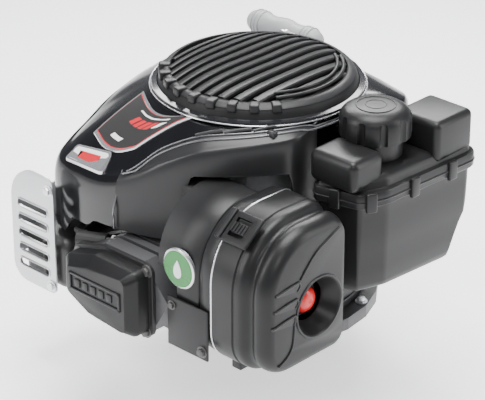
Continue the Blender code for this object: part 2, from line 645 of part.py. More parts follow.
def build_exhaust():
    body = box((-146, -158, 24), (-88, -72, 74), 10, 2)
    join(body, cylinder((-90, -145, 58), (-61.5, -145, 58), 8.5, 14))
    cut(body, cylinder((-96, -145, 58), (-50, -145, 58), 6.5, 16), box((-136, -150, 33), (-94, -80, 65)),
        cylinder((-120, -80, 45), (-120, -60, 45), 6, 14))
    keep(body, "muffler", BLACK_STEEL)
    front = rounded([(-95, 22, 6), (-95, 138, 10), (-152, 138, 34), (-152, 22, 18)], 4)
    guard = plate(front, -165, -163, "Y")
    join(guard, box((-152, -164, 44), (-150, -100, 100), 0.6, 1), box((-152, -164, 102), (-150, -134, 104)))
    for row in range(6):
        z = 38 + 15 * row
        cut(guard, box((-142, -170, z - 2.5), (-103, -160, z + 2.5)))
        if 44 < z - 4 and z + 4 < 100:
            cut(guard, box((-156, -154, z - 2.5), (-146, -108, z + 2.5)))
    for x in (-128, -106):
        join(guard, box((x - 4, -164, 70), (x + 4, -158.4, 73)))
    keep(guard, "muffler_guard", ZINC)


# ---------------------------------------------------------- air cleaner side

def filter_profile(inset, x, rear=FILTER_REAR_Y):
    corners = [(FILTER_FRONT_Y + inset, FILTER_TOP - inset, 58 - inset),
               (FILTER_FRONT_Y + inset, FILTER_BOTTOM + inset, 32 - inset),
               (rear - inset * 0.1, FILTER_BOTTOM + inset, 10), (rear - inset * 0.1, FILTER_TOP - inset - 2, 12)]
    return [(x, y, z) for y, z in rounded(corners, 4)]


def build_air_cleaner():
    duct = shell(loft([filter_profile(0, 42, -88), filter_profile(0, DUCT_END_X, -88)]), 2.2)
    cut(duct, box((30, -180, 20), (64, -80, 107)))
    keep(duct, "intake_duct", SATIN_BLACK)
    base = shell(loft([filter_profile(0, DUCT_END_X + GAP), filter_profile(-1.5, BASE_END_X)], cap_first=True), 2.4)
    y, z = PRIMER
    join(base, cylinder((92, y, z), (144, y, z), 15.8, 24), cylinder((84, -145, 69), (93, -145, 69), 14, 24))
    cut(base, cylinder((133, y, z), (147, y, z), 13.6, 24), cylinder((80, -145, 69), (100, -145, 69), 11, 14))
    keep(base, "air_cleaner_base", SATIN_BLACK)
    element = box((95, -158, 48), (122, -122, 128), 6)
    keep(element, "air_filter_element", FOAM)
    bulb_axis = pivot("primer_axis", (144, y, z))
    bulb = turned([(0, 157), (5, 156.4), (9.5, 154), (12.4, 149.5), (12.9, 140), (0, 140)], at=(0, y, z),
                  axis="X", steps=20)
    keep(bulb, "primer_bulb", RED_RUBBER, bulb_axis)

    hinge = pivot("filter_cover_hinge", (108, y, 25))
    skin = [filter_profile(-1.5, BASE_END_X + GAP), filter_profile(-1.5, 137), filter_profile(2.5, 145),
            filter_profile(3, 155), filter_profile(5.5, 162.5), filter_profile(10, COVER_END_X)]
    cover = shell(loft(skin, cap_last=True), 2.2)
    join(cover, cylinder((152.5, y, z), (COVER_END_X - 0.5, y, z), 20, 24, 27.5))
    cut(cover, cylinder((151.5, y, z), (COVER_END_X + 1, y, z), 17.6, 24, 25.5))
    for tab in (-140, -96):
        join(cover, box((BASE_END_X + 0.8, tab - 6, 22), (118, tab + 6, 35.5), 1.5))
    keep(cover, "air_cleaner_cover", SATIN_BLACK, hinge)
    tilt = radians(38)
    middle = Vector((0, FILTER_FRONT_Y + 58 - 62 * sin(tilt), FILTER_TOP - 58 + 62 * cos(tilt)))
    latch_axis = pivot("latch_axis", middle + Vector((135, 0, 0)))
    latch = box((108, -15, 1.5), (138, 15, 5), 1.2)
    join(latch, box((104, -15, 1.5), (110, 15, 7), 1.2))
    cut(latch, box((114, -9, 0), (130, 9, 10)))
    join(latch, box((112, -5, 2.4), (132, 5, 4.6)))
    latch = solid(latch)
    latch.matrix_world = Matrix.Translation(middle * MM) @ Matrix.Rotation(tilt, 4, "X") @ latch.matrix_world
    bpy.context.view_layer.update()
    keep(latch, "filter_cover_latch", SATIN_BLACK, latch_axis)


def build_carburettor():
    body = box((61, -158, 56), (83, -132, 84), 4)
    join(body, cylinder((54, -145, 69), (83.6, -145, 69), 10, 14))
    cut(body, cylinder((40, -145, 69), (90, -145, 69), 7.8, 14),
        cylinder((THROTTLE_X, -145, 58), (THROTTLE_X, -145, 90), 2.6, 12))
    keep(body, "carburettor", CAST_ALUMINIUM)
    keep(turned([(0, 55.6), (10, 55.6), (10, 46), (8, 43), (0, 43)], at=(71, -145, 0), steps=20),
         "float_bowl", ZINC)
    axis = pivot("throttle_axis", (THROTTLE_X, -145, 69))
    shaft = cylinder((THROTTLE_X, -145, 60), (THROTTLE_X, -145, 91), 2.2, 12)
    join(shaft, cylinder((THROTTLE_X - 0.7, -145, 69), (THROTTLE_X + 0.7, -145, 69), 7.2, 14),
         box((THROTTLE_X - 3.5, -148, 88), (THROTTLE_X + 3.5, -124, 91)))
    keep(shaft, "throttle_shaft", STEEL, axis)
    lever_axis = pivot("governor_axis", (84, -22, 60))
    lever = cylinder((84, -22, 48), (84, -22, 74), 3, 12)
    join(lever, box((80, -56, 70), (88, -18, 74), 1, 1))
    keep(lever, "governor_lever", ZINC, lever_axis)
    hose = tube([(111.6, -38.3, 67.8), (106, -42, 64), (102, -50, 63), (93, -58, 64), (83, -66, 66), (80, -84, 66)], 5, 10)
    keep(hose, "fuel_hose", BLACK_RUBBER)
    clamp = cylinder((105.4, -43.2, 63.9), (101.9, -50.2, 63), 8.5, 16)
    cut(clamp, cylinder((107.5, -39, 64.4), (99.8, -54.4, 62.5), 6.6, 16))
    keep(clamp, "hose_clamp", GREEN_STEEL)


# ----------------------------------------------------------------- fuel tank

TANK_BAND = [(113, -58, 8), (162, -46, 12), (171, -20, 30), (177, 98, 14), (119, 98, 10), (115, 40, 20)]


def tank_ring(inset, z, rear=0.0):
    middle_x, middle_y = 145, 20
    corners = []
    for x, y, radius in TANK_BAND:
        toward = Vector((middle_x - x, middle_y - y))
        x, y = x + inset * (1 if toward.x > 0 else -1), y + inset * (1 if toward.y > 0 else -1)
        corners.append((x, min(y, 98 - rear), max(3.0, radius - inset)))
    return [(x, y, z) for x, y in rounded(corners)]


def build_tank():
    wall = 2.2
    lower = loft([tank_ring(0, TANK_SPLIT - 0.2), tank_ring(0, 153), tank_ring(5, 152), tank_ring(6, 118),
                  tank_ring(8, 100, 12), tank_ring(10, 72, 26), tank_ring(14, 66, 30)], True, True)
    hollow = loft([tank_ring(5 + wall, TANK_SPLIT + 1), tank_ring(6 + wall, 118), tank_ring(8 + wall, 100, 12 + wall),
                   tank_ring(10 + wall, 72 + wall, 26 + wall), tank_ring(14 + wall, 66 + wall, 30 + wall)], True, True)
    join(lower, cylinder((134, -23.3, 82.7), (112, -38, 68), 5.5, 14))
    cut(lower, cylinder((137, -21.3, 84.7), (108, -40.7, 65.3), 3.4, 12))
    for y in (-22, 62):
        join(lower, box((109, y - 7, 144), (126, y + 7, 150)))
    cut(lower, hollow)
    keep(lower, "fuel_tank_lower", SATIN_BLACK)
    upper = loft([tank_ring(0, TANK_SPLIT + 0.2), tank_ring(0, 167), tank_ring(5, 168), tank_ring(6, 178),
                  tank_ring(9, 185), tank_ring(16, 187)], True, True)
    hollow = loft([tank_ring(5 + wall, TANK_SPLIT - 1), tank_ring(6 + wall, 178), tank_ring(9 + wall, 183),
                   tank_ring(16 + wall, 187 - wall)], True, True)
    x, y = FILLER
    hump = solid(box((118, -50, 171), (158, -16, 197), 11, 2))
    rear_hump = solid(box((124, 46, 172.5), (168, 90, 206), 12, 2))
    join(upper, hump, rear_hump, cylinder((x, y, 179.5), (x, y, 195.7), 24, 24), cylinder((x, y, 178.3), (x, y, 211), 20, 20))
    cut(upper, hollow, box((128, -42, 164), (150, -24, 190)), box((134, 56, 165), (158, 80, 199)),
        cylinder((x, y, 170), (x, y, 220), 17.5, 24))
    keep(upper, "fuel_tank_upper", SATIN_BLACK)
    axis = pivot("filler_axis", (x, y, 200))
    cap = turned([(0, 224), (20, 223), (27, 220), (CAP_R, 216), (CAP_R, 197), (28.5, 196.4), (22, 196.4), (22, 212),
                  (0, 212)], at=(x, y, 0), steps=20)
    for flute in range(10):
        angle = 2 * pi * flute / 10
        u, v = x + (CAP_R + 1.5) * cos(angle), y + (CAP_R + 1.5) * sin(angle)
        cut(cap, cylinder((u, v, 190), (u, v, 230), 3.4, 6))
    keep(cap, "fuel_cap", SATIN_BLACK, axis)


# ------------------------------------------------------ oil fill and controls

OIL_FOOT, OIL_MOUTH = Vector((-70, 82, 30.5)), Vector((-112, 96, 125))


def build_oil_fill():
    line = (OIL_MOUTH - OIL_FOOT).normalized()
    pipe = cylinder(OIL_FOOT + line * 2, OIL_MOUTH, 9, 18)
    foot = box((-86, 76, 31.6 + 16), (-60, 92, 53))
    join(pipe, foot)
    cut(pipe, cylinder(OIL_FOOT - line * 8, OIL_MOUTH + line * 5, 6.8, 18), box((-100, 60, 0), (-40, 110, 47.4)))
    keep(pipe, "oil_fill_tube", SATIN_BLACK)
    axis = pivot("dipstick_axis", OIL_MOUTH)
    stick = cylinder(OIL_MOUTH + line * 0.4, OIL_MOUTH + line * 12, 12, 18)
    join(stick, box((OIL_MOUTH.x - 14, OIL_MOUTH.y - 3, OIL_MOUTH.z + 8), (OIL_MOUTH.x + 9, OIL_MOUTH.y + 3,
                                                                          OIL_MOUTH.z + 20), 1.5),
         cylinder(OIL_MOUTH - line * 84, OIL_MOUTH + line * 1, 3, 10))
    keep(stick, "dipstick", BLACK_RUBBER, axis)


def build_brake():
    bracket = box((30, 44, 126.4), (52, 66, 129), 0.5, 1)
    join(bracket, box((44, 60, 126.4), (74, 90, 129)), cylinder((66, 82, 127), (66, 82, 148), 3, 12))
    keep(bracket, "brake_bracket", ZINC)
    axis = pivot("brake_axis", (66, 82, 135))
    lever = cylinder((66, 82, 132), (66, 82, 146), 6, 16)
    join(lever, box((28, 79, 134), (66, 85, 138)), box((30, 76.6, 132), (46, 83, 146), 1))
    cut(lever, cylinder((66, 82, 120), (66, 82, 160), 3.3, 16))
    keep(lever, "flywheel_brake_lever", BLACK_STEEL, axis)


build_castings()
build_ignition()
build_crankshaft()
build_piston()
build_valves()
build_housing()
build_starter()
build_trim()
build_exhaust()
build_air_cleaner()
build_carburettor()
build_tank()
build_oil_fill()
build_brake()
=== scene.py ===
"""Looks for the small petrol engine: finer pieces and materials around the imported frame.

Lengths are in millimetres and are scaled to metres where meshes are made. The cylinder
points along -Y, the muffler is on the -X side, the air cleaner and tank on the +X side.
"""
import json
from math import acos, atan2, cos, degrees, pi, radians, sin, sqrt, tan

import bmesh
import bpy
from mathutils import Matrix, Vector
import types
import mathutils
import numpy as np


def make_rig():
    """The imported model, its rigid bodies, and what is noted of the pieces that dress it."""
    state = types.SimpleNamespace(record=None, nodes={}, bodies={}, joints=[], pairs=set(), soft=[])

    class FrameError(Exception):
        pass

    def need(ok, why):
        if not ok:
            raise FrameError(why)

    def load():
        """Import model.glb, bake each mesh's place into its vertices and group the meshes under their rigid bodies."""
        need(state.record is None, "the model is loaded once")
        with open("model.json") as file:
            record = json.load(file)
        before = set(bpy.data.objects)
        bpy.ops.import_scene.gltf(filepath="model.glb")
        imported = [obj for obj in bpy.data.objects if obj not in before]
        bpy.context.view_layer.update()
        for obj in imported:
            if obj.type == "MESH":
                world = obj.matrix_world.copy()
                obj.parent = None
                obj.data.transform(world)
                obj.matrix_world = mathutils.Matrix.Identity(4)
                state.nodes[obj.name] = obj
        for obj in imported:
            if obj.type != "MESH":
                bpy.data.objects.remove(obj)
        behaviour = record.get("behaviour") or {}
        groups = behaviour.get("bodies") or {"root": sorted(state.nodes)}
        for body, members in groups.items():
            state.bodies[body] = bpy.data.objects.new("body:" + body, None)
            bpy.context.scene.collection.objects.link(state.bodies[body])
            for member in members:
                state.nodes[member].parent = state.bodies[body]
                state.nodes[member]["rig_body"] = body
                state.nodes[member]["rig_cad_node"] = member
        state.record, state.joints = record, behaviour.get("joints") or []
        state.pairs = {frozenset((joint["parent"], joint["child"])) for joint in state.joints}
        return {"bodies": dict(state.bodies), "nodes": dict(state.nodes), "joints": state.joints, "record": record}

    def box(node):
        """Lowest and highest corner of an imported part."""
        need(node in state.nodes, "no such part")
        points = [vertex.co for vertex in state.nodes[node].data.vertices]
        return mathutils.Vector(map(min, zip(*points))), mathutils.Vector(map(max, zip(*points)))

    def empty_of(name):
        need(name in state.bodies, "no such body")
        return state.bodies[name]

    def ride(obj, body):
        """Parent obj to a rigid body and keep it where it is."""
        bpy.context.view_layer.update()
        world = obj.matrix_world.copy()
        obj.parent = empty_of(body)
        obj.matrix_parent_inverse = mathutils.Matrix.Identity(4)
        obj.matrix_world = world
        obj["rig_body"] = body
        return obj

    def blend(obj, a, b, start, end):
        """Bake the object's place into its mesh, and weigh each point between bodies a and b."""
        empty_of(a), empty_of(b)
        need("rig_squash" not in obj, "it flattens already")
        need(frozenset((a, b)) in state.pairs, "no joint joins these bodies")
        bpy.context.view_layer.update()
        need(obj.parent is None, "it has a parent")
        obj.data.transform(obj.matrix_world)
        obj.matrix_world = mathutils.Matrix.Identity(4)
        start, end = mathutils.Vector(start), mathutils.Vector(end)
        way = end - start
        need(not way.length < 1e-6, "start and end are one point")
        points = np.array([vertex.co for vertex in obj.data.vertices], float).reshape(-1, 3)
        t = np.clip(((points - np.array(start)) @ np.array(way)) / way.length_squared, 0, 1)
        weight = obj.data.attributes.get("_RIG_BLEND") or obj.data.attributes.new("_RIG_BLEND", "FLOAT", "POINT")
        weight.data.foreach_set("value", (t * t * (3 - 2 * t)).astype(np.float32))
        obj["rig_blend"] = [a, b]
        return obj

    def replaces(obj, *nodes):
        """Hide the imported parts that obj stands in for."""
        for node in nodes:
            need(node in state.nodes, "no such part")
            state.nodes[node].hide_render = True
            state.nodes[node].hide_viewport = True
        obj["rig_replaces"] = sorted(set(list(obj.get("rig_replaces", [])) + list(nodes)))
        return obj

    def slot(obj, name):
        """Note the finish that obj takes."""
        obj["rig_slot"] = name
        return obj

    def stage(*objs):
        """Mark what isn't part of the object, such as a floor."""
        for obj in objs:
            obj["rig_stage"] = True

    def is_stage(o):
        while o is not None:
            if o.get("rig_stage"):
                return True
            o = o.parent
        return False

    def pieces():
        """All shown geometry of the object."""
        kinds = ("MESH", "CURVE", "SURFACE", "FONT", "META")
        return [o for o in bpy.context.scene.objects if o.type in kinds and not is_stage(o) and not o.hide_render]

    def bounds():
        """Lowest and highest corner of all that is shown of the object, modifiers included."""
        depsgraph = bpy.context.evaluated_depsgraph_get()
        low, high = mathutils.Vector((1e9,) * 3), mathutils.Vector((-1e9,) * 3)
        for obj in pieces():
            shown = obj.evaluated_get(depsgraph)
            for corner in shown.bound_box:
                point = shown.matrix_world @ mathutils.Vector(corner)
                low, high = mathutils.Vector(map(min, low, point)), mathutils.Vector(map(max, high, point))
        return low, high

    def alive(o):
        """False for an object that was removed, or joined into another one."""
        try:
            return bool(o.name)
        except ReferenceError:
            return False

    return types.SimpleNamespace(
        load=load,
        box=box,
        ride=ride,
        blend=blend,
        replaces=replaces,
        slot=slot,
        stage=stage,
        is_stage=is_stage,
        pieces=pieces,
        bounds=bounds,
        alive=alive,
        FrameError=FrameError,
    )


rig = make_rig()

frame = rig.load()
CAD_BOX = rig.bounds()
MM = 0.001


def node_box(name):
    low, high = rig.box(name)
    return Vector(low) / MM, Vector(high) / MM


STARTER_R = 85.0                # the starter cover's crown
STARTER_TOP = node_box("starter_cover")[1].z
ROPE_Z = 214.0
ROPE_BEND_Y, ROPE_SLOPE = 93.0, 0.5625
PULLEY_R = 50.0
FILTER_FRONT_Y, FILTER_REAR_Y = -168.0, -70.0
FILTER_TOP, FILTER_BOTTOM = 168.0, 33.0
FILTER_TOP_R, FILTER_LOW_R = 58.0, 32.0
LATCH_REACH, LATCH_TILT = 62.0, 38.0    # from the corner's centre, and degrees back from the top
COVER_END_X = 167.0
PRIMER = (-102.0, 87.0)         # y and z of the primer bulb's axis
FILLER = (128.0, 11.0)          # x and y of the filler neck's axis
TANK_SPLIT = 160.0
WALL = 2.4


# ---------------------------------------------------------------- materials

def moulded(name, colour, roughness, metallic=0.0, grain=900.0, bump=0.08, spread=0.12, wear=0.0,
            wear_colour=(0.3, 0.3, 0.3), coat=0.0, dust=0.25, shine=0.5):
    """A moulded, cast or plated finish: fine grain, uneven sheen, settled dust and worn edges."""
    made = bpy.data.materials.new(name)
    made.use_nodes = True
    tree = made.node_tree
    shader = tree.nodes["Principled BSDF"]
    shader.inputs["Metallic"].default_value = metallic
    shader.inputs["Specular IOR Level"].default_value = shine
    shader.inputs["Coat Weight"].default_value = coat
    shader.inputs["Coat Roughness"].default_value = 0.06
    place = tree.nodes.new("ShaderNodeTexCoord")
    fine = tree.nodes.new("ShaderNodeTexNoise")
    fine.inputs["Scale"].default_value = grain
    fine.inputs["Detail"].default_value = 4
    broad = tree.nodes.new("ShaderNodeTexNoise")
    broad.inputs["Scale"].default_value = 14
    broad.inputs["Detail"].default_value = 6
    for noise in (fine, broad):
        tree.links.new(place.outputs["Object"], noise.inputs["Vector"])
    gloss = tree.nodes.new("ShaderNodeMapRange")
    gloss.inputs["To Min"].default_value = max(0.03, roughness - spread)
    gloss.inputs["To Max"].default_value = min(1.0, roughness + spread)
    tree.links.new(broad.outputs["Fac"], gloss.inputs["Value"])
    tree.links.new(gloss.outputs["Result"], shader.inputs["Roughness"])
    shade = tree.nodes.new("ShaderNodeMix")
    shade.data_type = "RGBA"
    shade.inputs["A"].default_value = (*[c * (1 - dust) for c in colour], 1)
    shade.inputs["B"].default_value = (*[min(1.0, c * (1 + dust)) for c in colour], 1)
    tree.links.new(broad.outputs["Fac"], shade.inputs["Factor"])
    colour_out = shade.outputs["Result"]
    if wear:
        edges = tree.nodes.new("ShaderNodeNewGeometry")
        ramp = tree.nodes.new("ShaderNodeValToRGB")
        ramp.color_ramp.elements[0].position = 0.52
        ramp.color_ramp.elements[0].color = (0, 0, 0, 1)
        ramp.color_ramp.elements[1].position = 0.60
        ramp.color_ramp.elements[1].color = (wear, wear, wear, 1)
        tree.links.new(edges.outputs["Pointiness"], ramp.inputs["Fac"])
        worn = tree.nodes.new("ShaderNodeMix")
        worn.data_type = "RGBA"
        worn.inputs["B"].default_value = (*wear_colour, 1)
        tree.links.new(ramp.outputs["Color"], worn.inputs["Factor"])
        tree.links.new(colour_out, worn.inputs["A"])
        colour_out = worn.outputs["Result"]
    tree.links.new(colour_out, shader.inputs["Base Color"])
    relief = tree.nodes.new("ShaderNodeBump")
    relief.inputs["Strength"].default_value = bump
    relief.inputs["Distance"].default_value = 0.0004
    tree.links.new(fine.outputs["Fac"], relief.inputs["Height"])
    tree.links.new(relief.outputs["Normal"], shader.inputs["Normal"])
    return made


GLOSS = moulded("housing_gloss_black", (0.003, 0.003, 0.004), 0.16, bump=0.02, spread=0.05, coat=0.3,
                wear=0.12, wear_colour=(0.10, 0.10, 0.11), shine=0.35)
SHOULDER = moulded("shoulder_satin_black", (0.022, 0.022, 0.023), 0.30, bump=0.06, spread=0.06,
                   wear=0.2, wear_colour=(0.08, 0.08, 0.085), shine=0.28)
COVER = moulded("filter_cover_black", (0.011, 0.011, 0.0115), 0.36, bump=0.10, spread=0.05, wear=0.2,
                wear_colour=(0.07, 0.07, 0.0725), shine=0.25)
SATIN = moulded("moulded_satin_black", (0.009, 0.009, 0.0095), 0.38, bump=0.22, wear=0.25,
                wear_colour=(0.06, 0.06, 0.0625), shine=0.25)
MATTE = moulded("grained_matte_black", (0.006, 0.006, 0.0065), 0.50, grain=1400, bump=0.35, wear=0.2,
                wear_colour=(0.05, 0.05, 0.05), shine=0.25)
# A flat black: painted shade on the block in the opening under the housing, and the badge face's own dark print.
DARK = moulded("shade_filler_and_print_black", (0.008, 0.008, 0.008), 0.7, bump=0.1)
CAST = moulded("cast_aluminium", (0.24, 0.25, 0.26), 0.46, 0.85, grain=500, bump=0.5, wear=0.3,
               wear_colour=(0.7, 0.7, 0.72))
# Near-black in place of cast aluminium, for the sump flange, crankcase, head and sump details.
DARKENED_CAST = moulded("darkened_casting", (0.010, 0.010, 0.011), 0.48, 0.1, grain=500, bump=0.5, wear=0.3,
                       wear_colour=(0.2, 0.2, 0.21))
STEEL = moulded("machined_steel", (0.55, 0.55, 0.57), 0.26, 1.0, grain=1800, bump=0.08)
ZINC = moulded("zinc_plated_steel", (0.66, 0.67, 0.69), 0.30, 0.75, grain=260, bump=0.12, dust=0.12, wear=0.2,
               wear_colour=(0.85, 0.85, 0.86))
# Grey metallic for the black housing's seam ridges: a painted highlight along the seam.
RIDGE = moulded("ridge_painted_highlight", (0.16, 0.16, 0.17), 0.22, 0.6, bump=0.02, dust=0.1)
GUARD = moulded("bright_guard_steel", (0.50, 0.51, 0.52), 0.34, 0.8, grain=260, bump=0.12, dust=0.12,
                wear=0.2, wear_colour=(0.95, 0.95, 0.96))
BLACK_STEEL = moulded("black_painted_steel", (0.018, 0.018, 0.019), 0.42, grain=700, bump=0.2, wear=0.35,
                      wear_colour=(0.2, 0.19, 0.18))
GASKET = moulded("gasket_fibre", (0.18, 0.17, 0.15), 0.85, grain=2000, bump=0.5)
PAPER = moulded("filter_paper", (0.72, 0.66, 0.50), 0.9, grain=2400, bump=0.4)
RED = moulded("red_rubber", (0.62, 0.010, 0.010), 0.30, grain=600, bump=0.05, dust=0.1)
RUBBER = moulded("black_rubber", (0.015, 0.015, 0.015), 0.6, grain=1200, bump=0.2)
GREEN = moulded("green_clamp", (0.02, 0.20, 0.06), 0.35, 0.3, bump=0.06)
BADGE_GREEN = moulded("badge_green", (0.015, 0.20, 0.03), 0.28, bump=0.02, dust=0.08)
WHITE = moulded("badge_white", (0.80, 0.81, 0.81), 0.30, bump=0.02, dust=0.05)
RED_PRINT = moulded("red_print", (0.55, 0.02, 0.03), 0.28, bump=0.02, dust=0.08)
SILVER = moulded("silver_trim", (0.62, 0.62, 0.64), 0.24, 0.85, bump=0.03, dust=0.1)
CERAMIC = moulded("glazed_ceramic", (0.82, 0.82, 0.79), 0.18, bump=0.02, dust=0.05)
ROPE = moulded("braided_rope", (0.55, 0.55, 0.53), 0.8, grain=3000, bump=0.8)
GREY = moulded("light_grey_plastic", (0.28, 0.285, 0.29), 0.45, bump=0.2, dust=0.1, wear=0.2,
               wear_colour=(0.4, 0.4, 0.4))


# ------------------------------------------------------------- mesh helpers

def finished(obj, name, finish, body="engine", slot=None, angle=35.0):
    """Names a piece, smooths it, and makes it ride on a body; a piece that is blended rides on none."""
    obj.name = obj.data.name = name
    obj.data.materials.clear()
    obj.data.materials.append(finish)
    obj.data.shade_smooth()
    obj.data.set_sharp_from_angle(angle=radians(angle))
    if body:
        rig.ride(obj, body)
    if slot:
        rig.slot(obj, slot)
    return obj


def mesh_object(builder, name="shape"):
    mesh = bpy.data.meshes.new(name)
    bmesh.ops.recalc_face_normals(builder, faces=builder.faces)
    builder.to_mesh(mesh)
    builder.free()
    obj = bpy.data.objects.new(name, mesh)
    bpy.context.scene.collection.objects.link(obj)
    return obj


def applied(obj):
    """The object as a plain mesh, with its modifiers made part of it."""
    bpy.context.view_layer.update()
    mesh = bpy.data.meshes.new_from_object(obj.evaluated_get(bpy.context.evaluated_depsgraph_get()))
    if obj.type == "MESH":
        obj.modifiers.clear()
        obj.data = mesh
        return obj
    made = bpy.data.objects.new(obj.name, mesh)
    bpy.context.scene.collection.objects.link(made)
    bpy.data.objects.remove(obj, do_unlink=True)
    return made


def moved(obj, place):
    """The object's mesh carried to a place given in millimetres."""
    shift = place.copy()
    shift.translation = place.translation * MM
    obj.data.transform(shift)
    return obj


def modified(obj, kind, **settings):
    step = obj.modifiers.new(kind.lower(), kind)
    for key, value in settings.items():
        setattr(step, key, value)
    return obj


def soften(obj, width, segments=3, angle=30.0):
    return applied(modified(obj, "BEVEL", width=width * MM, segments=segments, limit_method="ANGLE",
                            angle_limit=radians(angle), harden_normals=False))


def loft(sections, cap_first=False, cap_last=False, closed=True):
    builder = bmesh.new()
    rings = [[builder.verts.new(Vector(p) * MM) for p in section] for section in sections]
    for lower, upper in zip(rings, rings[1:]):
        for k in range(len(lower) if closed else len(lower) - 1):
            n = (k + 1) % len(lower)
            builder.faces.new((lower[k], lower[n], upper[n], upper[k]))
    if cap_first:
        builder.faces.new(list(reversed(rings[0])))
    if cap_last:
        builder.faces.new(rings[-1])
    return mesh_object(builder, "loft")


def shell(obj, thickness=WALL, offset=-1.0):
    return applied(modified(obj, "SOLIDIFY", thickness=thickness * MM, offset=offset, use_even_offset=True))


def block(low, high, bevel=1.0, turn=None, segments=3):
    low, high = Vector(low), Vector(high)
    builder = bmesh.new()
    bmesh.ops.create_cube(builder, size=1.0, matrix=Matrix.Translation((low + high) / 2 * MM)
                          @ Matrix.Diagonal((*((high - low) * MM), 1.0)))
    obj = mesh_object(builder, "block")
    obj = soften(obj, bevel, segments) if bevel else obj
    if turn:
        obj.data.transform(turn)
    return obj


def bar(start, end, radius, sides=48, end_radius=None, bevel=0.0):
    start, end = Vector(start) * MM, Vector(end) * MM
    turn = (end - start).to_track_quat("Z", "Y").to_matrix().to_4x4()
    builder = bmesh.new()
    bmesh.ops.create_cone(builder, cap_ends=True, segments=sides, radius1=radius * MM,
                          radius2=(radius if end_radius is None else end_radius) * MM,
                          depth=(end - start).length, matrix=Matrix.Translation((start + end) / 2) @ turn)
    obj = mesh_object(builder, "bar")
    return soften(obj, bevel) if bevel else obj


def turned(profile, at=(0, 0, 0), axis="Z", steps=96, closed=False):
    """A (radius, height) profile turned about an axis through a point."""
    turn = {"X": Matrix.Rotation(pi / 2, 4, "Y"), "Y": Matrix.Rotation(pi / 2, 4, "X"),
            "Z": Matrix.Identity(4)}
    sections = [[(r * cos(2 * pi * k / steps), r * sin(2 * pi * k / steps), h) for k in range(steps)]
                for r, h in (profile + profile[:1] if closed else profile)]
    obj = loft(sections)
    builder = bmesh.new()
    builder.from_mesh(obj.data)
    bmesh.ops.remove_doubles(builder, verts=builder.verts, dist=0.000002)
    bmesh.ops.recalc_face_normals(builder, faces=builder.faces)
    builder.to_mesh(obj.data)
    builder.free()
    obj.data.transform(Matrix.Translation(Vector(at) * MM) @ turn[axis])
    return obj


def tube(points, radius, sides=12, cyclic=False):
    """A round bar along a smooth line through its points."""
    curve = bpy.data.curves.new("tube", "CURVE")
    curve.dimensions = "3D"
    curve.bevel_depth = radius * MM
    curve.bevel_resolution = sides // 2 - 2
    curve.use_fill_caps = True
    spline = curve.splines.new("POLY")
    spline.points.add(len(points) - 1)
    for point, place in zip(spline.points, points):
        point.co = (*(Vector(place) * MM), 1)
    spline.use_cyclic_u = cyclic
    obj = bpy.data.objects.new("tube", curve)
    bpy.context.scene.collection.objects.link(obj)
    return applied(obj)


def smooth_line(points, pieces=8):
    points = [Vector(p) for p in points]
    padded = [2 * points[0] - points[1]] + points + [2 * points[-1] - points[-2]]
    line = []
    for a, b, c, d in zip(padded, padded[1:], padded[2:], padded[3:]):
        for step in range(pieces):
            t = step / pieces
            line.append((2 * b + (c - a) * t + (2 * a - 5 * b + 4 * c - d) * t * t
                         + (3 * b - 3 * c + d - a) * t ** 3) / 2)
    return line + [points[-1]]


def rounded(corners, arc=10):
    outline = []
    for index, (u, v, radius) in enumerate(corners):
        here = Vector((u, v))
        back = (Vector(corners[index - 1][:2]) - here).normalized()
        ahead = (Vector(corners[(index + 1) % len(corners)][:2]) - here).normalized()
        half = acos(max(-1.0, min(1.0, back.dot(ahead)))) / 2
        middle = here + (back + ahead).normalized() * radius / sin(half)
        first, last = here + back * radius / tan(half) - middle, here + ahead * radius / tan(half) - middle
        turn = (atan2(last.y, last.x) - atan2(first.y, first.x) + pi) % (2 * pi) - pi
        for step in range(arc + 1):
            angle = atan2(first.y, first.x) + turn * step / arc
            outline.append((middle.x + radius * cos(angle), middle.y + radius * sin(angle)))
    return outline


def combine(target, other, operation):
    """A Boolean of two shapes, kept in the first one."""
    applied(modified(target, "BOOLEAN", operation=operation, solver="EXACT", object=other))
    bpy.data.objects.remove(other, do_unlink=True)
    return target


def join(target, other):
    return combine(target, other, "UNION")


def cut(target, other):
    return combine(target, other, "DIFFERENCE")


def merged(pieces):
    """Several pieces as one object, left as separate bodies."""
    builder = bmesh.new()
    for piece in pieces:
        builder.from_mesh(piece.data)
        bpy.data.objects.remove(piece, do_unlink=True)
    return mesh_object(builder, "merged")


# ----------------------------------------------------- blower housing and badge

HOUSING_PLAN = [(-180, 120), (-120, 120), (-90, 122), (-70, 134), (-55, 157), (-46, 176), (-40, 184),
                (-34, 179), (-28, 170), (-15, 155), (0, 140), (15, 128), (30, 118), (45, 113), (60, 110),
                (76, 96), (100, 95), (118, 112), (130, 133), (150, 133), (165, 122), (180, 120)]
HOUSING_RIM = [(-180, 98), (-95, 98), (-60, 82), (-33, 82), (-30, 99), (-24, 99), (-20, 107), (9, 107),
               (17, 171), (57, 171), (64, 100), (180, 98)]
HOUSING_EDGE = [(-180, 176), (-140, 176), (-110, 190), (-90, 190), (-65, 172), (-45, 138), (-30, 134),
                (-18, 136), (-6, 150), (4, 168), (20, 186), (60, 198), (100, 200), (125, 194), (150, 180),
                (180, 176)]
SEAM = [(-12, 143), (0, 124), (15, 110), (35, 102), (70, 97), (110, 97)]
RING_R = 93.0
BONNET_TOP = 209.0
ROUND_OVER = 0.12               # share of the bonnet's width that its outer rounding takes


def between(table, angle):
    """A value read off a short list of (angle, value) pairs, eased from one to the next."""
    for (a, low), (b, high) in zip(table, table[1:]):
        if a <= angle <= b:
            t = (angle - a) / (b - a)
            return low + (high - low) * t * t * (3 - 2 * t)
    return table[0][1] if angle < table[0][0] else table[-1][1]


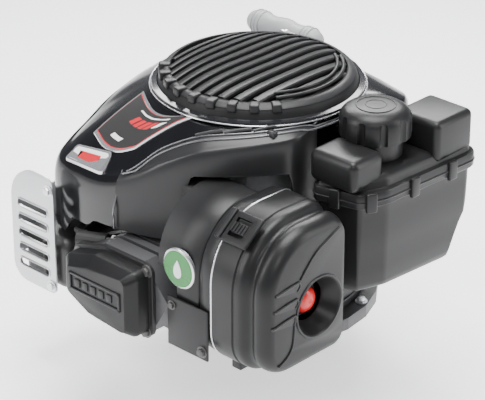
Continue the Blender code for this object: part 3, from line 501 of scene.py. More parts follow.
def sweeping(table, angle):
    """Like between, for a closed outline: it keeps its slope through each pair, so it has no flats."""
    last = len(table) - 1
    for k in range(last):
        (a, low), (b, high) = table[k], table[k + 1]
        if not a <= angle <= b:
            continue
        before, after = table[k - 1 if k else last - 1], table[k + 2 if k + 1 < last else 1]
        gap_before = (a - before[0]) % 360
        gap_after = (after[0] - b) % 360
        slope_in = (high - before[1]) / (gap_before + b - a) * (b - a)
        slope_out = (after[1] - low) / (gap_after + b - a) * (b - a)
        t = (angle - a) / (b - a)
        return (low * (1 + 2 * t) * (1 - t) ** 2 + high * t * t * (3 - 2 * t)
                + slope_in * t * (1 - t) ** 2 - slope_out * t * t * (1 - t))
    return table[0][1]


def housing_top(inward, edge):
    return edge + (BONNET_TOP - edge) * inward ** 0.75 + 3 * (1 - inward)


def on_bonnet(x, y, lift=0.0):
    """A point on the bonnet's surface, or a little above it."""
    angle, radius = degrees(atan2(x, -y)), sqrt(x * x + y * y)
    outer = sweeping(HOUSING_PLAN, angle)
    inward = max(ROUND_OVER, min(1.0, (outer - radius) / (outer - RING_R)))
    return Vector((x, y, housing_top(inward, sweeping(HOUSING_EDGE, angle)) + lift))


def seam_point(angle, lift=0.0, out=0.0):
    radius = sweeping(SEAM, angle) + out
    return on_bonnet(radius * sin(radians(angle)), -radius * cos(radians(angle)), lift)


def build_housing():
    steps, wall_rows, round_rows, top_rows = 240, 6, 8, 14
    lip_r = 85
    sections = []
    rows = wall_rows + round_rows + top_rows
    for row in range(rows + 1):
        section = []
        for k in range(steps):
            angle = -180 + 360 * k / steps
            outer, edge = sweeping(HOUSING_PLAN, angle), sweeping(HOUSING_EDGE, angle)
            rim = between(HOUSING_RIM, angle)
            brow = edge - 8
            if row <= wall_rows:
                inward, z = 0.0, rim + (brow - rim) * row / wall_rows
            elif row <= wall_rows + round_rows:
                t = (row - wall_rows) / round_rows * pi / 2
                inward = ROUND_OVER * (1 - cos(t))
                z = brow + (housing_top(ROUND_OVER, edge) - brow) * sin(t)
            else:
                inward = ROUND_OVER + (1 - ROUND_OVER) * (row - wall_rows - round_rows) / top_rows
                z = housing_top(inward, edge)
            radius = outer + (RING_R - outer) * inward
            section.append((radius * sin(radians(angle)), -radius * cos(radians(angle)), z))
        sections.append(section)
    sections.append([(x * lip_r / RING_R, y * lip_r / RING_R, BONNET_TOP) for x, y, _ in sections[-1]])
    housing = finished(shell(loft(sections)), "housing_shell", GLOSS, slot="gloss_black", angle=50)
    housing.data.materials.append(SHOULDER)
    for face in housing.data.polygons:
        x, y, _ = face.center / MM
        angle = degrees(atan2(x, -y))
        if -12 < angle < 140 and sqrt(x * x + y * y) > sweeping(SEAM, angle):
            face.material_index = 1
    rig.replaces(housing, "blower_housing")

    seam = [seam_point(-12 + 2 * k, 0.4) for k in range(60)]
    foot = seam[0]
    drop = [Vector((foot.x - 0.6, -151.2, z)) for z in (108, 118, 128)]
    # The seam ridges take the grey metallic: a painted highlight on the black housing.
    ridge = merged([tube([seam_point(-10 + 2 * k, 0.5, out) for k in range(59)], 0.9)
                    for out in (0.0, 4.2)] + [tube(smooth_line(drop + [foot + Vector((0, 0, 0.4))]), 0.9)])
    finished(ridge, "housing_seam_ridges", RIDGE, slot="gloss_black")
    # A black block filling the opening under the housing wall: painted shade where the inside would show.
    gap_filler_shade = block((24, -126, 116), (46, -96, 162), 2)
    finished(gap_filler_shade, "housing_shade_block", DARK, slot="gloss_black")
    gills = []
    for k, angle in enumerate((14, 27, 41)):
        start, end = seam_point(angle, 1.2, -1), seam_point(angle + 12 + k, 1.6, -3)
        gills.append(tube([start, (start + end) / 2 + Vector((0, 0, 0.6)), end], 1.7))
    finished(merged(gills), "housing_gills", SHOULDER, slot="gloss_black")
    clip = seam_point(50, 1.0, 4)
    finished(block(clip - Vector((4, 3, 3)), clip + Vector((4, 3, 3)), 1.2), "cover_clip", SHOULDER,
             slot="gloss_black")
    bump = block((-137, -96, 118), (-124, -70, 150), 3)
    finished(bump, "housing_side_boss", GLOSS, slot="gloss_black")


BADGE = (Vector((-86, -121)), Vector((-29, -126)), Vector((13, -92)), Vector((-66, -78)))


def badge_point(u, t, lift):
    """A point of the badge: u runs left to right and t from the front edge to the ring."""
    low = BADGE[0].lerp(BADGE[1], u) + Vector((0, -7 * sin(pi * u)))
    high = BADGE[3].lerp(BADGE[2], u) + Vector((0, -14 * sin(pi * u)))
    spot = low.lerp(high, t)
    return on_bonnet(spot.x, spot.y, lift)


def badge_patch(u0, u1, t0, t1, low, high, slant=0.0, columns=16, rows=10):
    sections = []
    for row in range(rows + 1):
        t = t0 + (t1 - t0) * row / rows
        us = [u0 + (u1 - u0) * k / columns + slant * (t - t0) for k in range(columns + 1)]
        face = [badge_point(u, t, high) for u in us]
        underside = [badge_point(u, t, low) for u in reversed(us)]
        sections.append(face + underside)
    return loft(sections, True, True)


def build_badges():
    panel = finished(badge_patch(0, 1, 0, 1, 0.2, 1.8), "badge_border", SILVER, slot="silver_trim")
    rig.replaces(panel, "badge_panel")
    finished(badge_patch(0.03, 0.97, 0.05, 0.95, 1.6, 2.2), "badge_red_line", RED_PRINT, slot="red_rubber")
    finished(badge_patch(0.04, 0.96, 0.065, 0.935, 1.8, 2.6), "badge_face", DARK, slot="gloss_black")
    stripes = [badge_patch(start, start + 0.07, 0.56, 0.74, 2.4, 3.0, 0.25, 2, 3)
               for start in (0.32, 0.42, 0.52, 0.62)]
    finished(merged(stripes), "badge_stripes", RED_PRINT, slot="red_rubber")
    bars = [badge_patch(0.74, 0.82, 0.58, 0.72, 2.4, 3.0, 0.25, 2, 3),
            badge_patch(0.30, 0.52, 0.19, 0.27, 2.4, 3.0, 0.2, 3, 2),
            badge_patch(0.30, 0.80, 0.82, 0.85, 2.4, 3.0, 0.2, 4, 2)]
    finished(merged(bars), "badge_bars", WHITE, slot="ceramic")

    def plaque(half_x, half_y, low, high):
        outline = [(-74 + u, -139 + v) for u, v in rounded(
            [(-half_x, -half_y, 4), (half_x, -half_y, 4), (half_x, half_y, 4), (-half_x, half_y, 4)], 5)]
        return loft([[on_bonnet(x, y, lift) for x, y in outline] for lift in (low, high)], True, True)
    finished(plaque(24, 7.5, -1.0, 1.8), "plaque_rim", SILVER, slot="silver_trim")
    finished(plaque(22, 5.6, 0, 2.4), "plaque_face", WHITE, slot="ceramic")
    finished(plaque(13, 1.4, 1, 2.9), "plaque_bar", RED_PRINT, slot="red_rubber")

    at = Vector((68, -168, 112))
    disc = turned([(0, 2.2), (17, 2.2), (18.4, 1.4), (18.4, -1), (0, -1)], at=at, axis="Y")
    finished(disc, "round_badge_rim", SILVER, slot="silver_trim")
    face = turned([(0, 2.8), (16.2, 2.8), (16.6, 2.2), (16.6, 0), (0, 0)], at=at, axis="Y")
    finished(face, "round_badge_face", BADGE_GREEN, slot="green_clamp")
    leaf = [Vector((at.x + 6 * sin(a) * sin(a / 2), at.y - 3.4, at.z + 8.5 * cos(a))) for a in
            (2 * pi * k / 24 for k in range(24))]
    finished(loft([leaf, [p + Vector((0, 1, 0)) for p in leaf]], True, True), "round_badge_drop", WHITE,
             slot="ceramic")


# ------------------------------------------------------------ starter and grip

def dome_height(radius):
    """Height of the starter cover's crown at a distance from its centre."""
    return STARTER_TOP - 14 * (radius / STARTER_R) ** 3.2


def build_starter():
    profile = [(r, dome_height(r) - 6) for r in range(0, 79, 3)] + \
        [(79, dome_height(79)), (83, 223), (86, 221), (88.5, 217), (90, 213), (91, 210)]
    base = shell(turned(profile), 1.6)
    starter = finished(base, "starter_cover_dome", MATTE, slot="satin_black")
    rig.replaces(starter, "starter_cover")
    ring = turned([(79, 224.5), (83, 224), (86.5, 221), (84, 219), (79, 221)], closed=True)
    finished(ring, "starter_cover_rim", SATIN, slot="satin_black")
    collar = turned([(90.5, 213.5), (95, 212.5), (96, 209.5), (90.5, 208.5)], closed=True)
    finished(collar, "housing_collar", GLOSS, slot="gloss_black")
    # A silver ring round the black collar: a painted highlight on its edge.
    trim = [(96.6 * cos(a), 96.6 * sin(a), 210.2) for a in (2 * pi * k / 144 for k in range(144))]
    finished(tube(trim, 0.7, 8, cyclic=True), "housing_collar_painted_highlight", SILVER, slot="silver_trim")

    slats = []
    count, half_width = 12, 4.7
    for k in range(count):
        x = -66 + 12 * k
        reach = sqrt(78 ** 2 - x * x)
        sections = []
        for step in range(25):
            y = -reach + 2 * reach * step / 24
            bend = 9 * (1 - (y / 78) ** 2) - 8
            section = []
            for across, drop in ((-half_width, 3.6), (-half_width, 1.2), (-half_width + 1.2, 0.2),
                                 (half_width - 1.2, 0.0), (half_width, 0.8), (half_width, 3.6)):
                px = x + bend + across
                radius = min(80.0, sqrt(px * px + y * y))
                section.append((px, y, dome_height(radius) - drop - (1.4 if across < 0 else 0)))
            sections.append(section)
        slats.append(loft(sections, True, True))
    finished(merged(slats), "starter_cover_slats", SATIN, slot="satin_black")
    teeth = []
    for k in range(9):
        angle = radians(-140 + 13 * k)
        teeth.append(block((78, -4.2, 218), (89, 4.2, 226), 1.6, Matrix.Rotation(angle, 4, "Z")))
    finished(merged(teeth), "starter_cover_teeth", SATIN, slot="satin_black")
    arcs = []
    for radius in (70, 75.5):
        arcs.append(tube([(radius * cos(a), radius * sin(a), dome_height(radius) + 0.6)
                          for a in (radians(-35 + 4 * k) for k in range(24))], 1.6))
    finished(merged(arcs), "starter_cover_arcs", SATIN, slot="satin_black")

    low, high = node_box("starter_grip")
    middle = (low + high) / 2
    half = (high.x - low.x) / 2
    profile = []
    for k in range(49):
        t = -1 + 2 * k / 48
        swell = 11.2 + 0.8 * cos(pi * t * 3)
        profile.append((swell * (1 - t ** 10) ** 0.5, -t * half))
    grip = finished(turned(profile, at=middle, axis="X"), "starter_grip_bar", GREY, "grip", "grey_plastic")
    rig.replaces(grip, "starter_grip")
    ribs = []
    for x in (-34, -30, -26, 26, 30, 34):
        circle = [(middle.x + x, middle.y + 11.6 * cos(a), middle.z + 11.6 * sin(a))
                  for a in (2 * pi * k / 32 for k in range(32))]
        ribs.append(tube(circle, 0.8, cyclic=True))
    finished(merged(ribs), "starter_grip_ribs", GREY, "grip", "grey_plastic")
    rope_low, rope_high = node_box("starter_rope")
    strands = []
    length = rope_high.y - rope_low.y
    for strand in range(3):
        points = []
        for k in range(49):
            y, turn = rope_low.y + length * k / 48, 2 * pi * strand / 3 + k * 0.5
            drop = max(0.0, y - ROPE_BEND_Y) * ROPE_SLOPE
            points.append((-PULLEY_R + cos(turn), y, ROPE_Z - drop + sin(turn)))
        strands.append(tube(points, 1.1, 8))
    rope = finished(merged(strands), "starter_rope_braid", ROPE, None, "rope")
    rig.replaces(rope, "starter_rope")
    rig.blend(rope, "engine", "grip", start=(-PULLEY_R * MM, rope_low.y * MM, ROPE_Z * MM),
             end=(-PULLEY_R * MM, rope_high.y * MM, ROPE_Z * MM))


# ------------------------------------------------- filter housing, duct and latch

def filter_profile(inset, x, rear=FILTER_REAR_Y):
    """Outline of the filter box in the YZ plane at one X, drawn in by an inset."""
    corners = [(FILTER_FRONT_Y + inset, FILTER_TOP - inset, max(3, FILTER_TOP_R - inset)),
               (FILTER_FRONT_Y + inset, FILTER_BOTTOM + inset, max(3, FILTER_LOW_R - inset)),
               (rear - 0.1 * inset, FILTER_BOTTOM + inset, 10),
               (rear - 0.1 * inset, FILTER_TOP - inset - 2, 12)]
    return [(x, y, z) for y, z in rounded(corners, 18)]


def on_cover(y, z, lift=0.0):
    return Vector((COVER_END_X + lift, y, z))


def build_air_box():
    """The intake duct and the fixed back of the air cleaner, with the primer's post."""
    rings = [(0, 42), (0, 64), (0, 88.4), (0.7, 89.4), (2.0, 90.0)]
    duct = shell(loft([filter_profile(inset, x, -88) for inset, x in rings]), 2.2)
    cut(duct, block((30, -180, 20), (64, -80, 107), 0))
    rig.replaces(finished(duct, "intake_duct_wall", COVER, slot="gloss_black"), "intake_duct")

    rings = [(1.8, 90.3), (0.6, 91), (0, 92), (-1.5, 104.6), (-1.1, 105.6), (-0.2, 106.0)]
    base = shell(loft([filter_profile(inset, x) for inset, x in rings], True))
    base = join(base, bar((92, *PRIMER), (144, *PRIMER), 15.8, 64))
    cut(base, bar((133, *PRIMER), (146, *PRIMER), 13.6, 64))
    base = join(base, bar((84, -145, 69), (94, -145, 69), 14, 48))
    cut(base, bar((83, -145, 69), (95, -145, 69), 11, 48))
    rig.replaces(finished(base, "air_cleaner_back", COVER, slot="gloss_black"), "air_cleaner_base")
    # A silver line at the lid's joint: a painted highlight on the black edge.
    edge = tube(filter_profile(-1.5, 105.9), 0.7, 6, cyclic=True)
    finished(edge, "air_cleaner_edge_painted_highlight", SILVER, slot="silver_trim")


def build_cover():
    """The hinged lid: a groove round a flat face, and a recess over the primer bulb."""
    rings = [(-1.5, 106.3), (-1.6, 108), (-1.6, 129.4), (-0.4, 130.2), (-0.4, 131.4), (-1.4, 132.4),
             (-1.4, 137), (-0.9, 139.4), (0.6, 141.8), (2.8, 143.6), (4.0, 145.2), (4.4, 147.4), (4.0, 149.6),
             (2.9, 151.2), (2.4, 153), (2.5, 156), (3.2, 159), (4.6, 162), (6.6, 164.6), (9.2, 166.4),
             (12.0, COVER_END_X)]
    cover = shell(loft([filter_profile(inset, x) for inset, x in rings], False, True), 2.2)
    cone = [(0, 152.5), (20, 152.5), (27.6, 166.9), (0, 166.9)]
    cover = join(cover, turned(cone, at=(0, *PRIMER), axis="X"))
    recess = [(0, 151), (17.6, 151), (18.2, 153.4), (19.6, 155), (25.2, 165.4), (27.0, 168), (0, 168)]
    cut(cover, turned(recess, at=(0, *PRIMER), axis="X"))
    for y in (-140, -96):
        cover = join(cover, block((106.8, y - 6, 22), (118, y + 6, 35.5), 1.5))
    finished(cover, "air_cleaner_lid", COVER, "filter_cover", "gloss_black", 35)
    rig.replaces(cover, "air_cleaner_cover")

    gills = []
    for back_y, back_z in ((-128, 120), (-130, 105), (-132, 90)):
        crest = [on_cover(back_y, back_z, 0.3), on_cover(back_y - 14, back_z - 1, 0.4),
                 on_cover(back_y - 28, back_z - 3, 0.0)]
        gills.append(tube(smooth_line(crest), 1.3))
        hook = [on_cover(back_y, back_z, 0.3), on_cover(back_y + 1.5, back_z - 4, 0.2),
                on_cover(back_y - 2, back_z - 8, 0.2)]
        gills.append(tube(smooth_line(hook), 1.1))
        cheek = [on_cover(back_y + 1, back_z - 1.5), on_cover(back_y - 26, back_z - 3),
                 on_cover(back_y - 26, back_z - 4.5), on_cover(back_y - 2, back_z - 8)]
        gills.append(loft([cheek, [p + Vector((0.5, 0, 0)) for p in cheek]], True, True))
    finished(merged(gills), "cover_gills", COVER, "filter_cover", "gloss_black")
    sweep = [on_cover(y, z, 0.3) for y, z in ((-78, 153), (-92, 147), (-107, 140), (-119, 129), (-126, 121))]
    lower = [on_cover(y, z, 0.3) for y, z in ((-132, 88), (-133, 74), (-135, 62), (-141, 54), (-152, 48))]
    finished(merged([tube(smooth_line(points), 1.0) for points in (sweep, lower)]), "cover_face_ribs", COVER,
             "filter_cover", "gloss_black")
    section = [(26.2, 167.2), (27.2, 168.2), (28.6, 168), (29.2, 166.6)]
    lip = turned(section, at=(0, *PRIMER), axis="X", closed=True)
    finished(lip, "cover_recess_lip", SATIN, "filter_cover", "gloss_black")


def build_primer():
    bulb = turned([(0, 157), (1.2, 156.9), (1.6, 156.6), (2.4, 156.7), (5, 156.4), (7.5, 155.7), (9.6, 154.2),
                   (11.2, 152.2), (12.2, 149.6), (12.8, 146), (12.9, 141), (12.9, 140), (0, 140)],
                  at=(0, *PRIMER), axis="X")
    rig.replaces(finished(bulb, "primer_bulb_rubber", RED, "primer", "red_rubber"), "primer_bulb")
    section = [(13.4, 143.4), (13.4, 146.4), (14.2, 147.4), (15.6, 147.4), (16.2, 146.2), (16.2, 143.4)]
    collar = turned(section, at=(0, *PRIMER), axis="X", closed=True)
    finished(collar, "primer_collar", SATIN, slot="gloss_black")


def build_latch():
    """The latch, tangent to the cover's upper front corner."""
    tilt = radians(LATCH_TILT)
    middle = Vector((0, FILTER_FRONT_Y + FILTER_TOP_R - LATCH_REACH * sin(tilt),
                     FILTER_TOP - FILTER_TOP_R + LATCH_REACH * cos(tilt)))
    place = Matrix.Translation(middle) @ Matrix.Rotation(tilt, 4, "X")
    frame_part = join(block((108, -15, 1.5), (138, 15, 5), 1.2), block((104, -15, 1.5), (110, 15, 7), 1.2))
    cut(frame_part, block((114, -9, -2), (130, 9, 9), 0))
    strap = moved(frame_part, place)
    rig.replaces(finished(strap, "latch_frame", SATIN, "latch", "gloss_black"), "filter_cover_latch")
    tabs = [block((112, -5, 2.4), (132, 5, 4.6), 1.0)]
    tabs += [block((x, -4.4, 4.0), (x + 1.6, 4.4, 5.6), 0.5) for x in (114, 117.4, 120.8, 124.2, 127.6)]
    finished(moved(merged(tabs), place), "latch_ribbed_tab", SATIN, "latch", "gloss_black")


def build_duct_plate():
    plate = block((56, -172.2, 36), (104, -169.8, 84), 1.0)
    plate = join(plate, block((60, -170.4, 40), (84, -167.4, 80), 0.6))
    finished(plate, "duct_lower_plate", SATIN, slot="gloss_black")
    bolt_set("duct_screws", [((98, -172.2, 44), (0, -1, 0), 4.0), ((62, -172.2, 76), (0, -1, 0), 3.2)],
             BLACK_STEEL, slot="black_steel")


# ------------------------------------------------------------------- fuel tank

TANK_BAND = [(113, -58, 8), (162, -46, 12), (171, -20, 30), (177, 98, 14), (119, 98, 10), (115, 40, 20)]


def tank_ring(inset, z, rear=0.0):
    corners = []
    for x, y, radius in TANK_BAND:
        shift_x = inset if x < 145 else -inset
        shift_y = inset if y < 20 else -inset
        corners.append((x + shift_x, min(y + shift_y, 98 - rear), max(3, radius - inset)))
    return [(x, y, z) for x, y in rounded(corners, 12)]


def build_tank_bowl():
    """The tank's lower half: each ring is (inset, height, how far its rear face comes forward)."""
    rings = [(0, TANK_SPLIT - 0.2), (0, 155), (1.0, 153.6), (4.4, 152.8), (5.0, 150), (5.2, 140), (5.6, 126),
             (6, 118), (7, 108, 6), (8, 100, 12), (8.8, 88, 18), (10, 74, 24), (11.4, 69, 26),
             (13.6, 66.6, 28), (17, 66, 30)]
    lower = loft([tank_ring(*ring) for ring in rings], True, True)
    hollow = loft([tank_ring(7.6, TANK_SPLIT + 1), tank_ring(8.6, 118), tank_ring(10.6, 100, 14.6),
                   tank_ring(12.6, 74.6, 28.6), tank_ring(16.6, 68.6, 32.6)], True, True)
    cut(lower, hollow)
    for y in (-22, 62):
        lower = join(lower, block((109, y - 7, 144), (126, y + 7, 150), 1.2))
    lower = join(lower, bar((134, -23.3, 82.7), (112, -38, 68), 5.5, 32))
    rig.replaces(finished(lower, "fuel_tank_bowl", COVER, slot="gloss_black"), "fuel_tank_lower")


def build_tank_top():
    rings = [(0, TANK_SPLIT + 0.2), (0, 166), (0.8, 167.4), (3.6, 168), (4.6, 168.6), (5.2, 170.5),
             (6.0, 173), (7.4, 175.4), (10, 177.4), (13, 178.6), (17, 179)]
    upper = loft([tank_ring(*ring) for ring in rings], True, True)
    upper = join(upper, block((108, -53, 168.4), (160, -13, 198), 7, segments=6))
    upper = join(upper, block((121, 43, 168.6), (171, 93, 207), 6, segments=6))
    upper = join(upper, bar((*FILLER, 179.5), (*FILLER, 195.7), 24, 96))
    upper = join(upper, bar((*FILLER, 178.3), (*FILLER, 211), 20, 96))
    inner_rings = [(2.6, 158), (2.6, 164), (6.2, 165), (10, 170)]
    hollow = loft([tank_ring(inset, z) for inset, z in inner_rings], True, True)
    cut(upper, hollow)
    cut(upper, bar((*FILLER, 175), (*FILLER, 214), 17.5, 96))
    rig.replaces(finished(upper, "fuel_tank_shell", COVER, slot="gloss_black", angle=40), "fuel_tank_upper")
    clips = []
    for x, y, turn in ((166.5, -37, 62), (173.0, 12, 88), (175.2, 60, 88), (138, -51.5, 14)):
        place = Matrix.Translation((x, y, 0)) @ Matrix.Rotation(radians(turn), 4, "Z")
        clips.append(moved(block((-5, -2.6, 151), (5, 1.6, 169), 1.4), place))
    finished(merged(clips), "tank_band_clips", COVER, slot="gloss_black")
    seam = [(x, y, TANK_SPLIT) for x, y, _ in tank_ring(-0.25, TANK_SPLIT)]
    finished(tube(seam, 0.8, 6, cyclic=True), "tank_weld_seam", SATIN, slot="gloss_black")


def build_fuel_cap():
    profile = [(0, 224), (12, 223.9), (20, 223.2), (25, 221.8), (28.4, 219.4), (30.6, 216.6), (31.5, 213.5),
               (31.5, 198.4), (31.0, 197), (28.5, 196.4), (22, 196.4), (22, 212), (0, 212)]
    cap = turned(profile, at=(*FILLER, 0), steps=144)
    flutes = []
    for k in range(10):
        angle = 2 * pi * k / 10
        x, y = FILLER[0] + 33.0 * cos(angle), FILLER[1] + 33.0 * sin(angle)
        flutes.append(soften(bar((x, y, 193), (x, y, 218), 4.2, 24), 1.5, 3))
    cut(cap, merged(flutes))
    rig.replaces(finished(cap, "fuel_cap_body", SATIN, "fuel_cap", "gloss_black", 40), "fuel_cap")
    marks = [tube([(FILLER[0] + r * cos(a), FILLER[1] + r * sin(a), 223.9 - (r / 26) ** 3) for a in
                   (2 * pi * k / 48 for k in range(48))], 0.5, 6, cyclic=True) for r in (9, 17)]
    finished(merged(marks), "fuel_cap_rings", SATIN, "fuel_cap", "gloss_black")


# ------------------------------------------------------------------- fasteners

def fastener(at, facing, radius, hexagon=True):
    """A flanged screw standing on a face; facing is the direction its head points."""
    at, out = Vector(at), Vector(facing).normalized()
    washer = bar(at, at + out * radius * 0.22, radius * 1.35, 28)
    head = bar(at + out * radius * 0.2, at + out * radius * 0.95, radius, 6 if hexagon else 28)
    return [washer, soften(head, radius * 0.12, 2)]


def bolt_set(name, spots, finish=ZINC, body="engine", slot="zinc"):
    finished(merged([piece for at, facing, radius in spots for piece in fastener(at, facing, radius)]),
             name, finish, body, slot)


# ------------------------------------------------ rocker cover, head and exhaust

def plane_outline(corners, y, arc=10):
    return [(x, y, z) for x, z in rounded(corners, arc)]


COVER_BASE = [(34, 36, 8), (34, 99, 8), (-20, 99, 8), (-57, 88, 8), (-57, 52, 8), (-20, 36, 8)]
COVER_FACE = [(27, 41, 6), (27, 94, 6), (-20, 90, 6), (-47, 83, 6), (-47, 58, 6), (-20, 45, 6)]
COVER_RIM = [(38, 32, 9), (38, 103, 9), (-20, 103, 9), (-61, 91, 9), (-61, 49, 9), (-20, 32, 9)]


def blended_outline(first, last, t, y):
    corners = [tuple(a + (b - a) * t for a, b in zip(p, q)) for p, q in zip(first, last)]
    return plane_outline(corners, y)


def build_head():
    rim = loft([plane_outline(COVER_RIM, -168.3), plane_outline(COVER_RIM, -171.6),
                blended_outline(COVER_RIM, COVER_BASE, 0.15, -172.2),
                blended_outline(COVER_RIM, COVER_BASE, 0.9, -172.4), plane_outline(COVER_BASE, -172.6),
                plane_outline(COVER_BASE, -184), blended_outline(COVER_BASE, COVER_FACE, 0.08, -186),
                blended_outline(COVER_BASE, COVER_FACE, 0.92, -193.2),
                blended_outline(COVER_BASE, COVER_FACE, 1.0, -194.4),
                blended_outline(COVER_BASE, COVER_FACE, 1.12, -195)], False, True)
    cover = finished(shell(rim, 2.0), "rocker_cover_pressing", SATIN, slot="satin_black", angle=30)
    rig.replaces(cover, "rocker_cover")
    frame_bars = [((-42, 62), (22, 64.6)), ((-42, 77), (22, 79.6)), ((-42, 62), (-39.4, 79.6)),
                  ((19.4, 62), (22, 79.6))]
    ribs = [block((x0, -196.4, z0), (x1, -194.6, z1), 0.8) for (x0, z0), (x1, z1) in frame_bars]
    ribs += [block((x, -196.2, 67), (x + 6.5, -194.6, 74.6), 0.9) for x in (-35, -25, -15, -5, 5)]
    finished(merged(ribs), "rocker_cover_ribs", SATIN, slot="satin_black")
    spots = [(30, 37), (32, 97), (-54, 84), (-54, 56)]
    bolt_set("rocker_cover_bolts", [((x, -171.8, z), (0, -1, 0), 4.4) for x, z in spots], BLACK_STEEL,
             slot="black_steel")


def build_exhaust():
    box_low, box_high = Vector((-146, -158, 24)), Vector((-88, -72, 74))
    body = block(box_low, box_high, 10, segments=6)
    body = join(body, bar((-90, -145, 58), (-61.5, -145, 58), 8.5, 48))
    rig.replaces(finished(body, "muffler_can", BLACK_STEEL, slot="black_steel", angle=40), "muffler")
    bands = [block((-146.8, y - 1.6, 34), (-145.4, y + 1.6, 64), 0.5) for y in (-140, -115, -90)]
    bands += [block((-118, -159, 30), (-114, -157.4, 68), 0.5)]
    finished(merged(bands), "muffler_ribs", BLACK_STEEL, slot="black_steel")

    outline = [(-95, 22, 6), (-95, 138, 10), (-152, 138, 34), (-152, 22, 18)]
    inner = [(-97, 24, 6), (-97, 136, 9), (-150, 136, 33), (-150, 24, 17)]
    plate = loft([plane_outline(outline, -163, 16), plane_outline(outline, -164.4, 16),
                  plane_outline(inner, -165, 16)], True, True)
    plate = join(plate, block((-152, -164, 44), (-150, -100, 100), 0.5))
    for row in range(5):
        z = 38 + 15 * row
        slot = block((-142, -170, z), (-103, -158, z + 7), 3.2, segments=5)
        cut(plate, slot)
    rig.replaces(finished(plate, "guard_plate", GUARD, slot="zinc"), "muffler_guard")
    lips = []
    for row in range(5):
        z = 38 + 15 * row
        lips.append(tube([(x, -165.2, y) for x, y in rounded([(-142.6, z - 0.6, 3.4), (-102.4, z - 0.6, 3.4),
                         (-102.4, z + 7.6, 3.4), (-142.6, z + 7.6, 3.4)], 6)], 0.8, 6, cyclic=True))
    finished(merged(lips), "guard_slot_lips", GUARD, slot="zinc")
    bolt_set("guard_bolts", [((-100, -165, 30), (0, -1, 0), 4), ((-100, -165, 126), (0, -1, 0), 4)],
             ZINC, slot="zinc")


# -------------------------------------------------- sump, fuel hose, coil screws and valve springs

def build_lower():
    ribs = []
    for k in range(12):
        turn = Matrix.Rotation(2 * pi * k / 12 + 0.2, 4, "Z")
        ribs.append(moved(block((26, -1.6, 4.5), (88, 1.6, 9.5), 1.0), turn))
    finished(merged(ribs), "sump_floor_ribs", DARKENED_CAST, slot="cast_aluminium")
    spots = []
    for k in range(10):
        angle = 2 * pi * k / 10 + 0.3
        spots.append(((105 * cos(angle), 105 * sin(angle), 12), (0, 0, 1), 4.2))
    bolt_set("sump_bolts", spots)
    seam = [(98.2 * cos(a), 98.2 * sin(a), 20) for a in (2 * pi * k / 120 for k in range(120))]
    finished(tube(seam, 0.8, 6, cyclic=True), "sump_casting_line", DARKENED_CAST, slot="cast_aluminium")


def build_controls():
    hose = [(111.6, -38.3, 67.8), (106, -42, 64), (102, -50, 63), (93, -58, 64), (83, -66, 66),
            (80, -84, 66)]
    line = smooth_line(hose, 10)
    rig.replaces(finished(tube(line, 5, 24), "fuel_hose_rubber", RUBBER, slot="black_rubber"), "fuel_hose")
    coil_top = node_box("ignition_coil")[1].z
    bolt_set("coil_screws", [((x, 0, coil_top), (0, 0, 1), 3.4) for x in (-100, -88)])


def build_springs():
    """The valve springs, seated in the head and shortened by their valves."""
    for side in ("intake", "exhaust"):
        low, high = node_box(side + "_valve_spring")
        wire = 1.0
        radius = (high.x - low.x) / 2 - wire
        middle = (low + high) / 2
        reach = high.y - low.y - 2 * wire
        points = []
        for k in range(6 * 24 + 1):
            turn = 2 * pi * k / 24
            points.append((middle.x + radius * cos(turn), low.y + wire + reach * k / (6 * 24),
                           middle.z + radius * sin(turn)))
        spring = finished(tube(points, wire, 10), side + "_spring_coil", STEEL, None, "steel")
        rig.replaces(spring, side + "_valve_spring")
        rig.blend(spring, "engine", side + "_valve", start=(middle.x * MM, high.y * MM, middle.z * MM),
                 end=(middle.x * MM, low.y * MM, middle.z * MM))


build_housing()
build_badges()
build_starter()
build_air_box()
build_cover()
build_primer()
build_latch()
build_duct_plate()
build_tank_bowl()
build_tank_top()
build_fuel_cap()
build_head()
build_exhaust()
build_lower()
build_controls()
build_springs()

# ------------------------------------------------------- finishes of CAD nodes

FINISH_OF_SLOT = {
    "gloss_black": GLOSS, "satin_black": SATIN, "cast_aluminium": CAST, "steel": STEEL, "zinc": ZINC,
    "black_steel": BLACK_STEEL, "gasket": GASKET, "filter_paper": PAPER, "red_rubber": RED,
    "black_rubber": RUBBER, "green_clamp": GREEN, "ceramic": CERAMIC, "rope": ROPE, "grey_plastic": GREY,
    "silver_trim": SILVER}
FINISH_OF_NODE = {"piston": STEEL, "oil_sump_flange": DARKENED_CAST, "crankcase_cylinder": DARKENED_CAST,
                  "cylinder_head": DARKENED_CAST}

for part in frame["record"]["subparts"]:
    node = frame["nodes"].get(part["node"])
    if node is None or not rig.alive(node):
        continue
    finish = FINISH_OF_NODE.get(part["node"], FINISH_OF_SLOT[part["material_slot"]])
    if node.data.materials:
        for index in range(len(node.data.materials)):
            node.material_slots[index].material = finish
    else:
        node.data.materials.append(finish)

# ------------------------------------------------------ floor, light and camera


def plain(name, colour, roughness):
    made = bpy.data.materials.new(name)
    made.use_nodes = True
    shader = made.node_tree.nodes["Principled BSDF"]
    shader.inputs["Base Color"].default_value = (*colour, 1)
    shader.inputs["Roughness"].default_value = roughness
    shader.inputs["Specular IOR Level"].default_value = 0.2
    return made


def build_stage():
    half = 9000
    corners = [(-half, -half), (half, -half), (half, half), (-half, half)]
    floor = loft([[(x, y, z) for x, y in corners] for z in (FLOOR_Z - 20, FLOOR_Z)], True, True)
    floor.name = floor.data.name = "studio_floor"
    white = plain("studio_white", (0.93, 0.93, 0.94), 0.75)
    white.node_tree.nodes["Principled BSDF"].inputs["Emission Color"].default_value = (1, 1, 1, 1)
    white.node_tree.nodes["Principled BSDF"].inputs["Emission Strength"].default_value = 0.9
    floor.data.materials.append(white)
    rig.stage(floor)


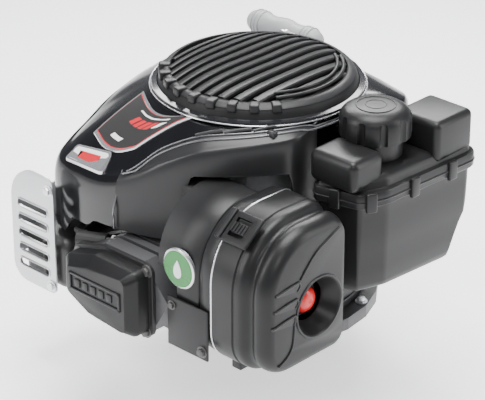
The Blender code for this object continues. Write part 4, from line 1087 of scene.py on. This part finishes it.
def area_light(name, place, aim, size, power, height=None, colour=(1, 1, 1)):
    data = bpy.data.lights.new(name, "AREA")
    data.energy = power
    data.color = colour
    data.shape = "RECTANGLE"
    data.size = size
    data.size_y = height or size
    lamp = bpy.data.objects.new(name, data)
    lamp.location = place
    lamp.rotation_euler = (Vector(aim) - Vector(place)).to_track_quat("-Z", "Y").to_euler()
    bpy.context.scene.collection.objects.link(lamp)


CAMERA_AZIMUTH = 43.7
CAMERA_ELEVATION = 26.7
FLOOR_Z = CAD_BOX[0][2] / MM
azimuth, elevation = radians(CAMERA_AZIMUTH), radians(CAMERA_ELEVATION)
back = Vector((sin(azimuth) * cos(elevation), -cos(azimuth) * cos(elevation), sin(elevation)))
right = Vector((cos(azimuth), sin(azimuth), 0))
up = back.cross(right)
target = (Vector((0, 0, 110)) - right * 14.1 - up * 16.4) * MM
camera = bpy.data.objects.new("camera", bpy.data.cameras.new("camera"))
camera.location = target + back * 2.0909
camera.rotation_euler = back.to_track_quat("Z", "Y").to_euler()
camera.data.sensor_width = 36
camera.data.lens = 170.7
bpy.context.scene.collection.objects.link(camera)
bpy.context.scene.camera = camera

build_stage()
centre = Vector((0, 0, 0.12))
area_light("sky_box", centre + Vector((0, 0, 1.5)), centre, 0.9, 46)
area_light("left_strip", centre - right * 1.2 + back * 0.5 + Vector((0, 0, 0.5)), centre, 0.3, 14, 1.2)
area_light("right_strip", centre + right * 1.3 + back * 0.3 + Vector((0, 0, 0.4)), centre, 0.3, 12, 1.2)
area_light("front_fill", centre + back * 2.0 + Vector((0, 0, 0.6)), centre, 0.7, 12)
area_light("rim_light", centre - back * 0.9 + Vector((0, 0, 1.1)), centre, 0.9, 16, 0.3)
world = bpy.data.worlds.new("studio_world")
world.use_nodes = True
world.node_tree.nodes["Background"].inputs["Color"].default_value = (0.92, 0.95, 1.0, 1)
world.node_tree.nodes["Background"].inputs["Strength"].default_value = 0.30
bpy.context.scene.world = world

with open("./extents.json", "w") as report:
    json.dump({"cad": [list(end) for end in CAD_BOX], "final": [list(end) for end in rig.bounds()]}, report)
